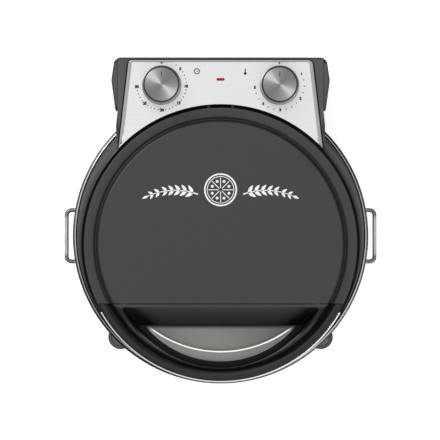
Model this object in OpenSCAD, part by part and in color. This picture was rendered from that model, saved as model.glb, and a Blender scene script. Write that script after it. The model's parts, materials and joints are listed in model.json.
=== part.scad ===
// Electric pizza maker: a steel bowl on four feet with a baking stone, and a hinged lid that
// carries the upper element, a half-moon window, a timer and a thermostat.
// All heights are above the table. X is to the right, Y is to the rear, and the front is -Y.

/* [Base] */
// Outer radius of the base at its rolled edge
bowl_r = 181.5; // [170:0.5:195]
// Height of the top of the polished rim
rim_z = 104; // [100:1:112]
// Depth of the bowl below the rim
bowl_depth = 74; // [70:1:78]
// How far the bowl's flat floor stays inside its rolled edge
floor_inset = 43.5; // [40:0.5:48]
// Sheet thickness of the bowl
bowl_t = 1.5; // [1:0.1:2.5]
// Radius of the fillet between the bowl's floor and wall
bowl_fillet = 12; // [8:1:16]
// Radius of the rolled edge of the bowl
curl_r = 2; // [1.6:0.1:2.4]
// Radius of the polished bead on the rim
bead_r = 1.8; // [1.4:0.1:2.2]
// Sheet thickness of the rim ring, pan and reflector
sheet_t = 1; // [0.8:0.1:1.4]

/* [Baking stone and pan] */
// How far the baking stone stays inside the rolled edge
stone_inset = 42; // [42:0.5:50]
// Thickness of the baking stone
stone_t = 11; // [8:1:13]
// Height of the ledge that the stone lies on, below the rim
ledge_drop = 27; // [24:1:30]
// Gap between the stone's edge and the pan
stone_gap = 1.5; // [1:0.1:3]
// Width of the ledge under the stone
ledge_w = 13; // [8:1:20]
// Radius of the polished roll on the pan's edge
roll_r = 1.3; // [1:0.1:1.6]

/* [Heating elements] */
// Radius of the heating elements' tube
element_tube_r = 3.25; // [2.5:0.05:4]
// How far the lower element's loop stays inside the stone's edge
lower_loop_inset = 44.5; // [36:0.5:60]
// Height of the lower element above the pan's floor
lower_element_h = 14; // [10:1:20]
// How far the upper element's loop stays inside the stone's edge
upper_loop_inset = 27.5; // [25:0.5:35]
// Gap between the upper element's front run and the cover's straight edge
upper_front_gap = 19.2; // [17:0.1:30]
// Half the distance between an element's two ends
terminal_x = 15; // [12:1:18]

/* [Legs and side handles] */
// Radius of the foot discs
foot_r = 15.1; // [13:0.1:16]
// Radius of the leg above its foot disc
leg_r = 11; // [9:0.5:12]
// How far the centres of the front feet stay inside the rolled edge
foot_inset = 3.3; // [0:0.1:10]
// Angle of the front feet forward of the sideways direction
foot_angle = 45.1; // [40:0.1:50]
// Height of the underside of the leg discs
pad_h = 3; // [2:0.5:5]
// Thickness of the leg discs
disc_h = 5; // [4:0.5:7]
// Radius of the wire of the side handles
wire_r = 2.5; // [2:0.1:3]
// How far the handle bars stand outside the rolled edge
handle_out = 8.3; // [6:0.1:14]
// Half the distance between the two arms of a side handle
handle_half = 31.6; // [26:0.1:40]
// Bend radius of the handle wire
handle_bend = 6; // [5:0.5:9]
// Height of the side handles below the rim
handle_drop = 22; // [18:1:28]

/* [Rear bracket and hinge] */
// How far the rear face stands behind the rolled edge
rear_depth = 35.3; // [32:0.1:42]
// Height of the top of the rear bracket
bracket_top = 74; // [72:1:76]
// How far the rear bracket's front face stays inside the rolled edge
bracket_inset = 61.5; // [54:0.5:70]
// Wall thickness of the plastic mouldings
wall = 3; // [2.5:0.1:4]
// Radius of the opening for the power cord
gland_r = 9; // [8:0.5:11]
// How far the inner faces of the hinge arms stay inside the rolled edge
arm_inset = 55.2; // [53:0.1:56]
// Width of a hinge arm at the hinge
arm_w = 6.9; // [6:0.1:9]
// Width of a hinge arm at its front tip
arm_tip_w = 2.1; // [1.5:0.1:3]
// Distance from the rear face to the hinge
hinge_back = 27.3; // [26:0.1:29]
// How far the rear feet stay inside the hinge arms
rear_foot_inset = 21.3; // [18:0.1:36]
// Distance from the rear face to the rear feet
rear_foot_back = 22.3; // [18:0.1:30]
// Height of the hinge above the rim
hinge_rise = 11; // [10:0.5:12]
// Radius of the hinge pins
pin_r = 4; // [3:0.1:4.5]
// Running clearance of the pins in their bushes
pin_gap = 0.05; // [0.03:0.01:0.09]
// Wall of the hinge bushes
bush_wall = 2; // [1.5:0.1:2.5]

/* [Lid] */
// How far the lid's circle stands forward of the bowl
lid_shift = 10.8; // [9:0.1:12]
// How far the lid's painted cover stays inside the base's rolled edge
cover_inset = 15; // [14:0.1:17]
// Width of the open channel around the cover
channel_w = 3.5; // [3:0.1:4]
// Width of the cover's outer ring, slope included
ledge_ring_w = 17.1; // [16.5:0.1:20]
// Width of the slope below the raised top
slope_w = 5.9; // [4:0.1:6.2]
// Height of the lid from the rim to the cover's outer ring
lid_h = 30; // [29:0.5:33]
// Height of the raised top above the cover's outer ring
plateau_h = 8; // [6:0.5:9]
// Sheet thickness of the cover
cover_t = 1.5; // [1:0.1:2]
// Gap between the closed lid and the rim
seat_gap = 0.3; // [0.2:0.05:0.4]
// Distance from the cover's foremost point back to its straight edge
front_depth = 94.1; // [92:0.1:97]

/* [Grip and window] */
// Half the angle that the grip spans
grip_angle = 60.5; // [56:0.5:61]
// Width of the grip band
grip_w = 10; // [9.5:0.1:10.2]
// Width of the bright trim on the grip
trim_w = 2; // [1.2:0.1:2.4]
// Depth of the recess around the window
recess_depth = 22; // [18:0.5:23]
// How much smaller than the cover the recess's radius is at its top
recess_inset = 30.8; // [29.5:0.1:34]
// Gap between the cover's straight edge and the recess
recess_back = 4.1; // [3:0.1:8]
// How much smaller the recess's radius is at its floor
recess_side_run = 9.5; // [8:0.1:14]
// Run of the recess's rear slope
recess_slope_run = 22; // [18:0.1:26]
// Distance from the cover's foremost point to the recess
recess_front_inset = 15.7; // [15.2:0.1:18]
// How much smaller than the recess the visible glass's radius is
gasket_run = 12.9; // [10:0.1:16]
// Width of the gasket at its foremost point
gasket_front_w = 7.7; // [6:0.1:12]
// Thickness of the window glass
glass_t = 4; // [3:0.5:4]

/* [Controls] */
// How far the panel's rear corners stay inside the hinge arms
panel_rear_inset = 17.2; // [16:0.1:22]
// How far the panel's front tips stay inside the hinge arms
panel_tip_inset = 5.1; // [4.8:0.1:8]
// Rear margin between the panel and the rear face
panel_margin = 3; // [2.5:0.1:5]
// Thickness of the panel
panel_t = 1.6; // [1:0.1:2]
// Sideways distance from the panel's rear corners to the knobs
knob_side = 37.3; // [34:0.1:44]
// Radius of the knobs' skirt
knob_skirt_r = 24; // [22:0.1:25]
// Radius of the knobs' face
knob_face_r = 21; // [19:0.1:21.5]
// Height of the knobs
knob_h = 21; // [17:0.5:24]
// Thickness of the metal caps on the knobs
cap_t = 1.5; // [1:0.1:2]
// Radius of the knob shafts
shaft_r = 3; // [2.5:0.1:3.5]
// Running clearance of the shafts in their modules
shaft_gap = 0.05; // [0.03:0.01:0.09]
// Width of the timer and thermostat bodies
module_w = 42; // [36:0.5:44]
// Gap between these bodies and the walls in front of them and behind them
module_gap = 6.8; // [4:0.1:8]
// Length of the red indicator
lens_len = 10.4; // [8:0.1:14]
// Width of the red indicator
lens_w = 3.7; // [3:0.1:5]
// Distance from the rear face to the indicator
lens_back = 26.8; // [20:0.1:30]
// Length of the terminal block
block_w = 44; // [40:1:50]
// Depth of the terminal block
block_d = 13; // [12:0.5:15]

/* [Hidden] */
$fn = 96;
arc_fn = 160;
cut = 1;
rear_reach = bowl_r + rear_depth;
bowl_y = (bowl_r - rear_reach) / 2;

// Base heights and radii
floor_r = bowl_r - floor_inset;
stone_r = bowl_r - stone_inset;
foot_x = (bowl_r - foot_inset) * cos(foot_angle);
foot_y = (bowl_r - foot_inset) * sin(foot_angle);
handle_x = bowl_r + handle_out;
lower_loop_r = stone_r - lower_loop_inset;
upper_loop_r = stone_r - upper_loop_inset;
bracket_front = bowl_r - bracket_inset;
arm_in = bowl_r - arm_inset;
arm_out = arm_in + arm_w;
rear_foot_x = arm_in - rear_foot_inset;
hinge_y = rear_reach - hinge_back;
floor_z = rim_z - bowl_depth;
curl_c = [bowl_r - curl_r, rim_z - 5];
lip = [curl_c[0] - 1, curl_c[1]];
wall_a = atan2(lip[1] - floor_z, lip[0] - floor_r);
wall_n = [sin(wall_a), -cos(wall_a)];
fillet_c = [floor_r - bowl_fillet * tan(wall_a / 2), floor_z + bowl_fillet];
rim_plate_z = curl_c[1] + curl_r;
ledge_z = rim_z - ledge_drop;
pan_r = stone_r + stone_gap;
pan_inner_r = pan_r - ledge_w;
pan_floor_z = floor_z + 15;
stone_top = ledge_z + sheet_t + stone_t;
roll_c = [pan_r + roll_r, stone_top + 2.3];
lower_element_z = pan_floor_z + sheet_t + lower_element_h;
disc_top = pad_h + disc_h;
handle_z = rim_z - handle_drop;
pan_wall_low_r = pan_inner_r - 4;
gland_z = 35;
rear_foot_y = rear_reach - rear_foot_back;
arm_screws = [[hinge_y - 16, 28], [hinge_y + 10, 28], [hinge_y - 3, 50]];
tube_bend = 12;
lap = 0.4;
lap_slim = 0.03;
front_bend = 20;

// Lid heights and radii
cover_r = bowl_r - cover_inset;
cover_front = cover_r + lid_shift;
plateau_r = cover_r - ledge_ring_w;
front_line = cover_front - front_depth;
upper_loop_front = front_line - upper_front_gap;
recess_top_r = cover_r - recess_inset;
recess_top_line = front_line + recess_back;
recess_floor_r = recess_top_r - recess_side_run;
recess_floor_line = recess_top_line + recess_slope_run;
recess_front = cover_front - recess_front_inset;
glass_view_r = recess_floor_r - gasket_run;
glass_view_front = recess_front - gasket_front_w;
lid_z = rim_z + seat_gap;
plate_top = lid_z + wall;
ring_z = rim_z + lid_h;
top_z = ring_z + plateau_h;
ring_under = ring_z - cover_t;
hinge_z = rim_z + hinge_rise;
channel_r = cover_r + channel_w;
step_r = plateau_r + slope_w;
chamber_r = pan_r + 3;
reflector_z = plate_top + 2.7;
reflector_top = ring_z - 6;
dish_low_r = pan_r;
dish_top_r = pan_r - 13;
dish_front = front_line - 4;
upper_element_z = reflector_top - 10;
frame_r = bowl_r - 5.5;
dome_w = 20;
dome_h = ring_z - 3 - lid_z;
support_r = cover_r - cover_t - 0.3;
support_w = 3.7;
grip_edge_r = cover_r - grip_w - 0.7;
back_wall_r = step_r - 2.3;
back_wall_w = 4;
grip_seat_z = ring_z - 6;
grip_slot_z = ring_z - 13;
bezel_floor_z = top_z - recess_depth;
glass_top = bezel_floor_z - 2;
glass_z = glass_top - glass_t;
bezel_tongue = plateau_r - 24.4;
retainer_t = 1.2;

// Control box
box_half = arm_in - 0.6;
box_flare = 1.7;
arm_front_y = hinge_y - 36.6;
corner_r = 8;
corner_c = [arm_in - 3.9, rear_reach - corner_r];
panel_z = ring_z - 1;
panel_rear = rear_reach - panel_margin;
panel_front_r = channel_r + 0.5;
panel_rear_half = arm_in - panel_rear_inset;
panel_tip_half = arm_in - panel_tip_inset;
panel_tip_y = sqrt(pow(panel_front_r, 2) - pow(panel_tip_half, 2)) - lid_shift;
panel_corner = 6;
box_wall = wall;
box_step_y = hinge_y + 12;
box_step_z = hinge_z - 4;
module_z = box_step_z + 2.5;
shaft_low = module_z + 4;
knob_x = panel_rear_half - knob_side;
module_front = box_front(knob_x - module_w / 2) + module_gap;
module_rear = panel_rear - box_wall - module_gap;
knob_y = (module_front + module_rear) / 2;
lens_y = rear_reach - lens_back;
block_y = box_front(0) + 9.3;
knob_z = panel_z + panel_t + 0.5;
knob_top = knob_z + knob_h;
bush_len = 10;
pin_len_in = 9;
pin_len_out = 5.2;

// Points of an arc about c from angle a0 to a1
function arc(c, r, a0, a1, n) =
    [for (i = [0:n]) let (a = a0 + (a1 - a0) * i / n) [c[0] + r * cos(a), c[1] + r * sin(a)]];
// Points of a quarter ellipse about c
function ellipse(c, a, b, t0, t1, n) =
    [for (i = [0:n]) let (t = t0 + (t1 - t0) * i / n) [c[0] + a * cos(t), c[1] + b * sin(t)]];
// Where a heating loop of radius r bends outwards to its end: distance behind the axis
function terminal_bend_y(r) = sqrt(pow(r + tube_bend, 2) - pow(terminal_x + tube_bend, 2));
// The same place as an angle from +X
function terminal_angle(r) = atan2(terminal_bend_y(r), terminal_x + tube_bend);
// Outer radius of the bowl's wall at height z
function wall_r(z) = floor_r + (z - floor_z) / tan(wall_a);
// Rear face of the wall between the lid's channel and the box, at a distance x to the side
function box_front(x) = sqrt(pow(panel_front_r + box_wall, 2) - x * x) - lid_shift;
// Half the width of the panel at a distance y behind the bowl's axis
function panel_half(y) = panel_rear_half
    + (panel_rear - y) * (panel_tip_half - panel_rear_half) / (panel_rear - panel_tip_y);
// Points mirrored to the other side, in reverse order
function mirrored(p) = [for (i = [len(p) - 1:-1:0]) [-p[i][0], p[i][1]]];

// ---- helpers ----

// Moves from the bowl's axis to the part's own origin
module at_bowl() { translate([0, bowl_y, 0]) children(); }
// Moves from the lid's circle to the part's own origin
module at_lid() { at_bowl() translate([0, -lid_shift, 0]) children(); }
// A ring about Z
module ring(r_out, r_in, z0, z1) {
    translate([0, 0, z0]) difference() {
        cylinder(r = r_out, h = z1 - z0, $fn = arc_fn);
        translate([0, 0, -cut]) cylinder(r = r_in, h = z1 - z0 + 2 * cut, $fn = arc_fn);
    }
}
// A cylinder along X between two places
module rod_x(r, x0, x1) { translate([x0, 0, 0]) rotate([0, 90, 0]) cylinder(r = r, h = x1 - x0); }
// A cylinder along Y between two places
module rod_y(r, y0, y1) { translate([0, y0, 0]) rotate([-90, 0, 0]) cylinder(r = r, h = y1 - y0); }
// Left and right copies
module both_sides() {
    children();
    mirror([1, 0, 0]) children();
}
// Everything in front of the line y = -line
module front_of(line, z0, z1) { translate([-300, -400, z0]) cube([600, 400 - line, z1 - z0]); }
// Everything behind the line y = -line
module behind(line, z0, z1) { translate([-300, -line, z0]) cube([600, 500, z1 - z0]); }
// The solid inside the bowl's outer face, grown by g
module bowl_solid(g = 0) {
    r0 = floor_r + g / sin(wall_a);
    rotate_extrude($fn = arc_fn) polygon(concat(
        [[0, floor_z]],
        arc(fillet_c, bowl_fillet + g, -90, -90 + wall_a, 8),
        [lip + g * wall_n + [2 / tan(wall_a), 2], [0, lip[1] + 2]]));
}
// A half-moon: the part of a circle in front of a straight line
module half_moon_2d(r, front, line) {
    intersection() {
        translate([0, r - front]) circle(r = r, $fn = arc_fn);
        translate([-r - cut, -front - cut]) square([2 * r + 2 * cut, front - line + cut]);
    }
}
// Outline of the box and the hinge arms together, seen from above
module rear_outline_2d() {
    side = concat([[arm_in + arm_tip_w, arm_front_y], [arm_out, hinge_y]],
        arc(corner_c, corner_r, 0, 90, 8));
    polygon(concat(side, mirrored(side)));
}
// Outline of the control box, seen from above
module box_2d() {
    side = [[box_half + box_flare, panel_tip_y + 6], [box_half + box_flare, arm_front_y - 19],
        [box_half, arm_front_y - 3], [box_half, hinge_y]];
    polygon(concat(side, mirrored(side)));
    intersection() {
        rear_outline_2d();
        translate([-box_half, arm_front_y]) square([2 * box_half, 80]);
    }
}
// Outline of the panel, shrunk by d
module panel_2d(d = 0) {
    rear = panel_rear - d;
    c = [panel_rear_half - d - panel_corner, rear - panel_corner];
    front = panel_tip_y - 30;
    side = concat([[panel_half(front) - d, front], [panel_half(c[1]) - d, c[1]]],
        arc(c, panel_corner, 0, 90, 6));
    difference() {
        polygon(concat(side, mirrored(side)));
        translate([0, -lid_shift]) circle(r = panel_front_r + d, $fn = arc_fn);
    }
}
// The half-moon recess around the window
module recess() {
    hull() {
        translate([0, 0, top_z])
            linear_extrude(cut) half_moon_2d(recess_top_r, recess_front, recess_top_line);
        translate([0, 0, bezel_floor_z])
            linear_extrude(0.01)
                half_moon_2d(recess_floor_r, recess_front, recess_floor_line);
    }
}

// ---- base ----

module base_bowl() color([0.13, 0.13, 0.13]) at_bowl() difference() {
    rotate_extrude($fn = arc_fn) union() {
        polygon(concat(
            [[0, floor_z]],
            arc(fillet_c, bowl_fillet, -90, -90 + wall_a, 8),
            [lip, lip - bowl_t * wall_n],
            arc(fillet_c, bowl_fillet - bowl_t, -90 + wall_a, -90, 8),
            [[0, floor_z + bowl_t]]));
        translate(curl_c) circle(r = curl_r, $fn = 32);
    }
    for (x = [-terminal_x, terminal_x])
        translate([x, 0, lower_element_z]) rod_y(element_tube_r + 2, floor_r - 38, bowl_r + 8);
    both_sides() for (y = [-handle_half, handle_half])
        translate([0, y, handle_z]) rod_x(wire_r, floor_r, bowl_r + 8);
}

module base_rim() color([0.8, 0.8, 0.82]) at_bowl() rotate_extrude($fn = arc_fn)
    intersection() {
        union() {
            translate([bowl_r - 10, rim_plate_z]) square([8, 1.2]);
            translate([bowl_r - 1.4 - bead_r, rim_z - bead_r]) circle(r = bead_r, $fn = 32);
        }
        translate([0, rim_plate_z]) square([bowl_r, 10]);
    }

// Radial profile of the pan, from its centre to its outer flange
function pan_path() = [
    [0, pan_floor_z], [pan_wall_low_r - 6, pan_floor_z], [pan_inner_r, pan_floor_z + 8],
    [pan_inner_r, ledge_z], [pan_r, ledge_z], [pan_r, stone_top + 1.2],
    [pan_r + 2 * roll_r, stone_top + 1.2], [bowl_r - 7, rim_plate_z - sheet_t]];

module inner_pan() color([0.62, 0.62, 0.62]) at_bowl() difference() {
    rotate_extrude($fn = arc_fn) union() {
        p = pan_path();
        t = sheet_t;
        polygon([p[0], p[1], p[2] + [t, 0], p[3] + [t, 0], p[4] + [t, 0], p[5] + [t, 0],
            p[6], p[7], p[7] + [0, t], p[6] + [0, t], p[5] + [0, t], p[4] + [0, t],
            p[3] + [0, t], p[2] + [0, t / 2], p[1] + [-t / 2, t], p[0] + [0, t]]);
        translate(roll_c) circle(r = roll_r, $fn = 32);
    }
    for (x = [-terminal_x, terminal_x])
        translate([x, 0, lower_element_z]) rod_y(element_tube_r + 1, floor_r - 38, bowl_r + 8);
}

module lower_insulation() color([0.85, 0.83, 0.78]) at_bowl()
    translate([0, 0, floor_z + bowl_t])
        cylinder(r = pan_wall_low_r - 8, h = pan_floor_z - floor_z - bowl_t);

// A bent tube's arc about Z
module tube_arc(tube_r, r, a0, a1) {
    rotate([0, 0, a0]) rotate_extrude(angle = a1 - a0, $fn = arc_fn)
        translate([r, 0]) circle(r = tube_r, $fn = 24);
}
// The right-hand end of a loop of radius r: a bend outwards, and a straight run to y_end
module tube_end(r, y_end) {
    y = terminal_bend_y(r);
    translate([terminal_x + tube_bend, y, 0])
        tube_arc(element_tube_r, tube_bend, 180, 180 + terminal_angle(r));
    translate([terminal_x, 0, 0]) rod_y(element_tube_r - lap_slim, y - lap, y_end);
}
// A loop's arc, which runs a little way into the bends at its ends
module tube_loop(r, a0, a1) {
    d = lap / r * 180 / PI;
    tube_arc(element_tube_r - lap_slim, r, a0 - d, a1 + d);
}

module lower_element() color([0.32, 0.3, 0.29]) at_bowl() translate([0, 0, lower_element_z]) {
    a = terminal_angle(lower_loop_r);
    tube_loop(lower_loop_r, 180 - a, 360 + a);
    both_sides() tube_end(lower_loop_r, wall_r(lower_element_z) + 14);
}

module lower_element_clips() color([0.6, 0.6, 0.6]) at_bowl()
    for (a = [30, 150, 270]) rotate([0, 0, a]) translate([lower_loop_r, 0, 0]) {
        h = lower_element_h - element_tube_r;
        translate([-5, -4, pan_floor_z + sheet_t]) cube([10, 8, h]);
    }

module element_insulators() color([0.93, 0.92, 0.88]) at_bowl()
    for (x = [-terminal_x, terminal_x]) translate([x, 0, lower_element_z]) difference() {
        y = wall_r(lower_element_z);
        union() {
            rod_y(element_tube_r + 2, y - 12, y + 9);
            rod_y(element_tube_r + 4, y + 4, y + 9);
        }
        rod_y(element_tube_r, 90, y + 30);
    }

module baking_stone() color([0.62, 0.58, 0.5]) at_bowl()
    translate([0, 0, ledge_z + sheet_t]) union() {
        cylinder(r = stone_r - 1, h = stone_t, $fn = arc_fn);
        translate([0, 0, 1]) cylinder(r = stone_r, h = stone_t - 2, $fn = arc_fn);
    }

module front_leg() color([0.3, 0.3, 0.3]) at_bowl() difference() {
    reach = norm([foot_x, foot_y]);
    union() {
        rotate([0, 0, -atan2(foot_y, foot_x)]) difference() {
            hull() {
                translate([reach, 0, disc_top - 1]) cylinder(r = leg_r, h = 3, $fn = 32);
                translate([wall_r(52), 0, 42]) cylinder(r = leg_r + 2, h = 16, $fn = 32);
            }
            bowl_solid();
        }
        translate([foot_x, -foot_y, pad_h]) cylinder(r = foot_r, h = disc_h);
    }
    translate([foot_x, -foot_y, 0]) cylinder(r = 1.5, h = 14);
}
module front_right_leg() { front_leg(); }
module front_left_leg() { mirror([1, 0, 0]) front_leg(); }

// Outline of the rear bracket, shrunk by d
module bracket_2d(d = 0) {
    r = corner_r;
    c = [arm_in - r, rear_reach - r];
    side = concat([[arm_in - d, bracket_front + d], [arm_in - d, c[1]]],
        arc(c, r - d, 0, 90, 8));
    polygon(concat(side, mirrored(side)));
}

module rear_bracket() color([0.16, 0.16, 0.16]) at_bowl() difference() {
    translate([0, 0, disc_top + 2]) linear_extrude(bracket_top - disc_top - 2) bracket_2d();
    bowl_solid();
    difference() {
        translate([0, 0, disc_top]) linear_extrude(bracket_top - disc_top - wall)
            bracket_2d(wall);
        bowl_solid(wall);
    }
    for (x = [-terminal_x, terminal_x])
        translate([x, 0, lower_element_z]) rod_y(element_tube_r + 4, floor_r - 8, bowl_r + 18);
    translate([0, 0, gland_z]) {
        rod_y(gland_r - 3, rear_reach - 20, rear_reach + cut);
        rod_y(gland_r, rear_reach - 1.5, rear_reach + cut);
    }
    both_sides() for (s = arm_screws) translate([0, s[0], s[1]]) rod_x(2, arm_in - 16, arm_out + 8);
}

module bracket_floor() color([0.2, 0.2, 0.2]) at_bowl() difference() {
    union() {
        translate([0, 0, disc_top]) linear_extrude(2) bracket_2d();
        for (x = [-rear_foot_x, rear_foot_x])
            translate([x, rear_foot_y, pad_h]) cylinder(r = foot_r, h = disc_h);
    }
    for (x = [-rear_foot_x, rear_foot_x])
        translate([x, rear_foot_y, 0]) cylinder(r = 1.5, h = 14);
}

module cord_gland() color([0.08, 0.08, 0.08]) at_bowl() translate([0, 0, gland_z])
    difference() {
        union() {
            rod_y(gland_r, rear_reach - 1.5, rear_reach);
            rod_y(gland_r - 3, rear_reach - 12, rear_reach - 1);
            rod_y(gland_r - 1, rear_reach - 8, rear_reach - wall);
        }
        rod_y(gland_r - 5, rear_reach - 20, rear_reach + cut);
    }

// Children at each of the four feet
module at_feet() {
    at_bowl() {
        for (x = [-foot_x, foot_x]) translate([x, -foot_y, 0]) children();
        for (x = [-rear_foot_x, rear_foot_x]) translate([x, rear_foot_y, 0]) children();
    }
}
module foot_pads() color([0.06, 0.06, 0.06]) at_feet() difference() {
    cylinder(r = foot_r - 2.6, h = pad_h);
    translate([0, 0, -cut]) cylinder(r = 4.2, h = pad_h + 2 * cut);
}
module foot_screws() color([0.7, 0.7, 0.7]) at_feet() {
    translate([0, 0, pad_h - 1.8]) cylinder(r = 3.4, h = 1.8);
    translate([0, 0, pad_h - 1]) cylinder(r = 1.5, h = 9);
}

module side_handle() color([0.82, 0.82, 0.84]) at_bowl() translate([0, 0, handle_z]) {
    end = sqrt(pow(wall_r(handle_z), 2) - pow(handle_half, 2)) - 5;
    bend_x = handle_x - handle_bend;
    bend_y = handle_half - handle_bend;
    translate([handle_x, 0, 0]) rod_y(wire_r - lap_slim, -bend_y - lap, bend_y + lap);
    for (s = [0, 1]) mirror([0, s, 0]) {
        translate([0, handle_half, 0]) rod_x(wire_r - lap_slim, end, bend_x + lap);
        translate([bend_x, bend_y, 0]) tube_arc(wire_r, handle_bend, 0, 90);
    }
}
module right_side_handle() { side_handle(); }
module left_side_handle() { mirror([1, 0, 0]) side_handle(); }

module side_handle_collars() color([0.75, 0.75, 0.77]) at_bowl() both_sides()
    for (y = [-handle_half, handle_half]) difference() {
        x = sqrt(pow(wall_r(handle_z), 2) - pow(handle_half, 2));
        translate([0, y, handle_z]) rod_x(6, x - 6, x + 4);
        bowl_solid();
        translate([0, y, handle_z]) rod_x(wire_r, x - 20, x + 20);
    }

// Side view of a hinge arm, as an outline in Y and Z
module arm_side_2d() {
    r = 13;
    top = ring_z;
    polygon(concat(
        [[hinge_y - 30, 14], [rear_reach - 14, 14], [rear_reach, 30]],
        arc([rear_reach - r, top - r], r, 0, 90, 8),
        arc([arm_front_y + 9, top - 9], 9, 90, 180, 8),
        [[arm_front_y, hinge_z - 12], [hinge_y - 30, 70]]));
}
module hinge_arm() color([0.27, 0.28, 0.28]) at_bowl() difference() {
    intersection() {
        translate([arm_in, 0, 0]) rotate([90, 0, 90]) linear_extrude(20) arm_side_2d();
        linear_extrude(ring_z + cut) rear_outline_2d();
    }
    translate([0, hinge_y, hinge_z]) rod_x(pin_r, arm_in - cut, arm_in + pin_len_out);
    for (s = arm_screws) translate([0, s[0], s[1]]) {
        rod_x(2, arm_in - 16, arm_out + 8);
        rod_x(4.3, arm_in + 2, arm_out + 8);
    }
}
module right_hinge_arm() { hinge_arm(); }
module left_hinge_arm() { mirror([1, 0, 0]) hinge_arm(); }

module hinge_pin() color([0.7, 0.7, 0.72]) at_bowl() translate([0, hinge_y, hinge_z])
    rod_x(pin_r, arm_in - pin_len_in, arm_in + pin_len_out);
module right_hinge_pin() { hinge_pin(); }
module left_hinge_pin() { mirror([1, 0, 0]) hinge_pin(); }

module hinge_arm_screws() color([0.5, 0.5, 0.5]) at_bowl() both_sides()
    for (s = arm_screws) translate([0, s[0], s[1]]) {
        rod_x(4, arm_in + 2, arm_in + 3.6);
        rod_x(2, arm_in - 8, arm_in + 2.5);
    }

// ---- lid ----

// Radial profile of the frame's domed side
module dome_2d() {
    c = [frame_r - dome_w, lid_z];
    polygon(concat(
        ellipse(c, dome_w, dome_h, 0, 90, 14),
        ellipse(c, dome_w - 2.5, dome_h - 2.5, 90, 0, 14)));
}
// The sector that the bright trim spans
module grip_sector() {
    rotate([0, 0, -90 - grip_angle]) rotate_extrude(angle = 2 * grip_angle, $fn = arc_fn)
        translate([100, 0]) square([100, 400]);
}

module lid_frame() color([0.24, 0.24, 0.24]) difference() {
    union() {
        at_bowl() ring(frame_r, chamber_r, lid_z, plate_top);
        at_bowl() ring(chamber_r + 2, chamber_r, lid_z, reflector_z);
        at_lid() difference() {
            ring(support_r, support_r - support_w, lid_z, ring_under);
            front_of(front_line - lid_shift, plate_top, 300);
        }
        at_lid() intersection() {
            ring(back_wall_r + back_wall_w, back_wall_r, lid_z, grip_seat_z);
            front_of(front_line - lid_shift, 0, 300);
        }
        difference() {
            at_bowl() rotate_extrude($fn = arc_fn) dome_2d();
            at_lid() translate([0, 0, plate_top]) cylinder(r = channel_r, h = 60, $fn = arc_fn);
        }
        at_bowl() difference() {
            translate([0, 0, lid_z]) linear_extrude(ring_z - lid_z) box_2d();
            translate([0, 0, plate_top])
                linear_extrude(60) translate([0, -lid_shift]) circle(r = channel_r, $fn = arc_fn);
            translate([0, 0, lid_z - cut]) cylinder(r = frame_r - 2, h = wall + 2 * cut);
        }
    }
    at_bowl() box_cavity();
    at_bowl() translate([-150, box_step_y, 0]) cube([300, 60, box_step_z]);
    at_bowl() both_sides() translate([0, hinge_y, hinge_z])
        rod_x(pin_r + bush_wall + pin_gap, box_half - bush_len, box_half + cut);
    at_bowl() for (x = [-terminal_x, terminal_x])
        translate([x, 0, upper_element_z]) rod_y(element_tube_r + 1.5, pan_r - 11, pan_r + 34);
    at_bowl() at_floor_screws() cylinder(r = 1.5, h = 12);
}

// The hollow of the control box, with the seats of the panel and the floor
module box_cavity() {
    translate([0, 0, panel_z]) linear_extrude(20) panel_2d(-0.2);
    translate([0, 0, module_z - 1.5]) linear_extrude(60) panel_2d(box_wall);
    intersection() {
        union() {
            translate([0, 0, lid_z - cut]) linear_extrude(60) panel_2d(box_wall);
            translate([0, 0, lid_z - cut]) linear_extrude(cut + 2) panel_2d(-1.8);
        }
        translate([-200, 0, 0]) cube([400, box_step_y - wall, 300]);
    }
}

module lid_cover() color([0.28, 0.28, 0.28]) at_lid() intersection() {
    rotate_extrude($fn = arc_fn) polygon([
        [0, top_z], [plateau_r, top_z], [step_r, ring_z], [cover_r - 0.8, ring_z],
        [cover_r, ring_z - 0.8], [cover_r, ring_z - 10], [cover_r - cover_t, ring_z - 10],
        [cover_r - cover_t, ring_under], [step_r - cover_t, ring_under],
        [plateau_r - cover_t * 0.7, top_z - cover_t], [0, top_z - cover_t]]);
    behind(front_line - lid_shift, 0, 300);
}

module window_bezel() color([0.26, 0.26, 0.26]) difference() {
    union() {
        at_lid() intersection() {
            rotate_extrude($fn = arc_fn) polygon([
                [0, glass_z], [back_wall_r - 0.4, glass_z], [back_wall_r - 0.4, grip_seat_z],
                [step_r - 0.1, grip_seat_z], [step_r - 0.1, ring_z], [plateau_r + 1, top_z - 0.6],
                [plateau_r - 0.6, top_z], [0, top_z]]);
            front_of(front_line + 0.8 - lid_shift, 0, 300);
        }
        at_bowl() translate([-bezel_tongue, -front_line - 2, top_z - cover_t - 3])
            cube([2 * bezel_tongue, 6, 3]);
    }
    at_bowl() recess();
    at_bowl() linear_extrude(bezel_floor_z + 1)
        half_moon_2d(recess_floor_r, recess_front, recess_floor_line);
}

module grip_handle() color([0.2, 0.2, 0.2]) at_lid() intersection() {
    rotate_extrude($fn = arc_fn) polygon([
        [grip_edge_r, grip_seat_z], [grip_edge_r + 3, grip_seat_z],
        [grip_edge_r + 4, ring_z - 4], [cover_r - 3, ring_z - 4],
        [cover_r - 3, grip_slot_z], [cover_r, grip_slot_z], [cover_r, ring_z - 1.5],
        [cover_r - 1.5, ring_z], [grip_edge_r + 1, ring_z], [grip_edge_r, ring_z - 1]]);
    front_of(front_line + 0.8 - lid_shift, 0, 300);
}

module grip_trim() color([0.85, 0.85, 0.87]) at_lid() intersection() {
    rotate_extrude($fn = arc_fn) polygon(concat(
        [[cover_r, ring_z - 8]],
        arc([cover_r + trim_w - 1, ring_z - 7], 1, -90, 0, 4),
        arc([cover_r + trim_w - 1, ring_z - 3], 1, 0, 90, 4),
        [[cover_r, ring_z - 2]]));
    grip_sector();
}

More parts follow.
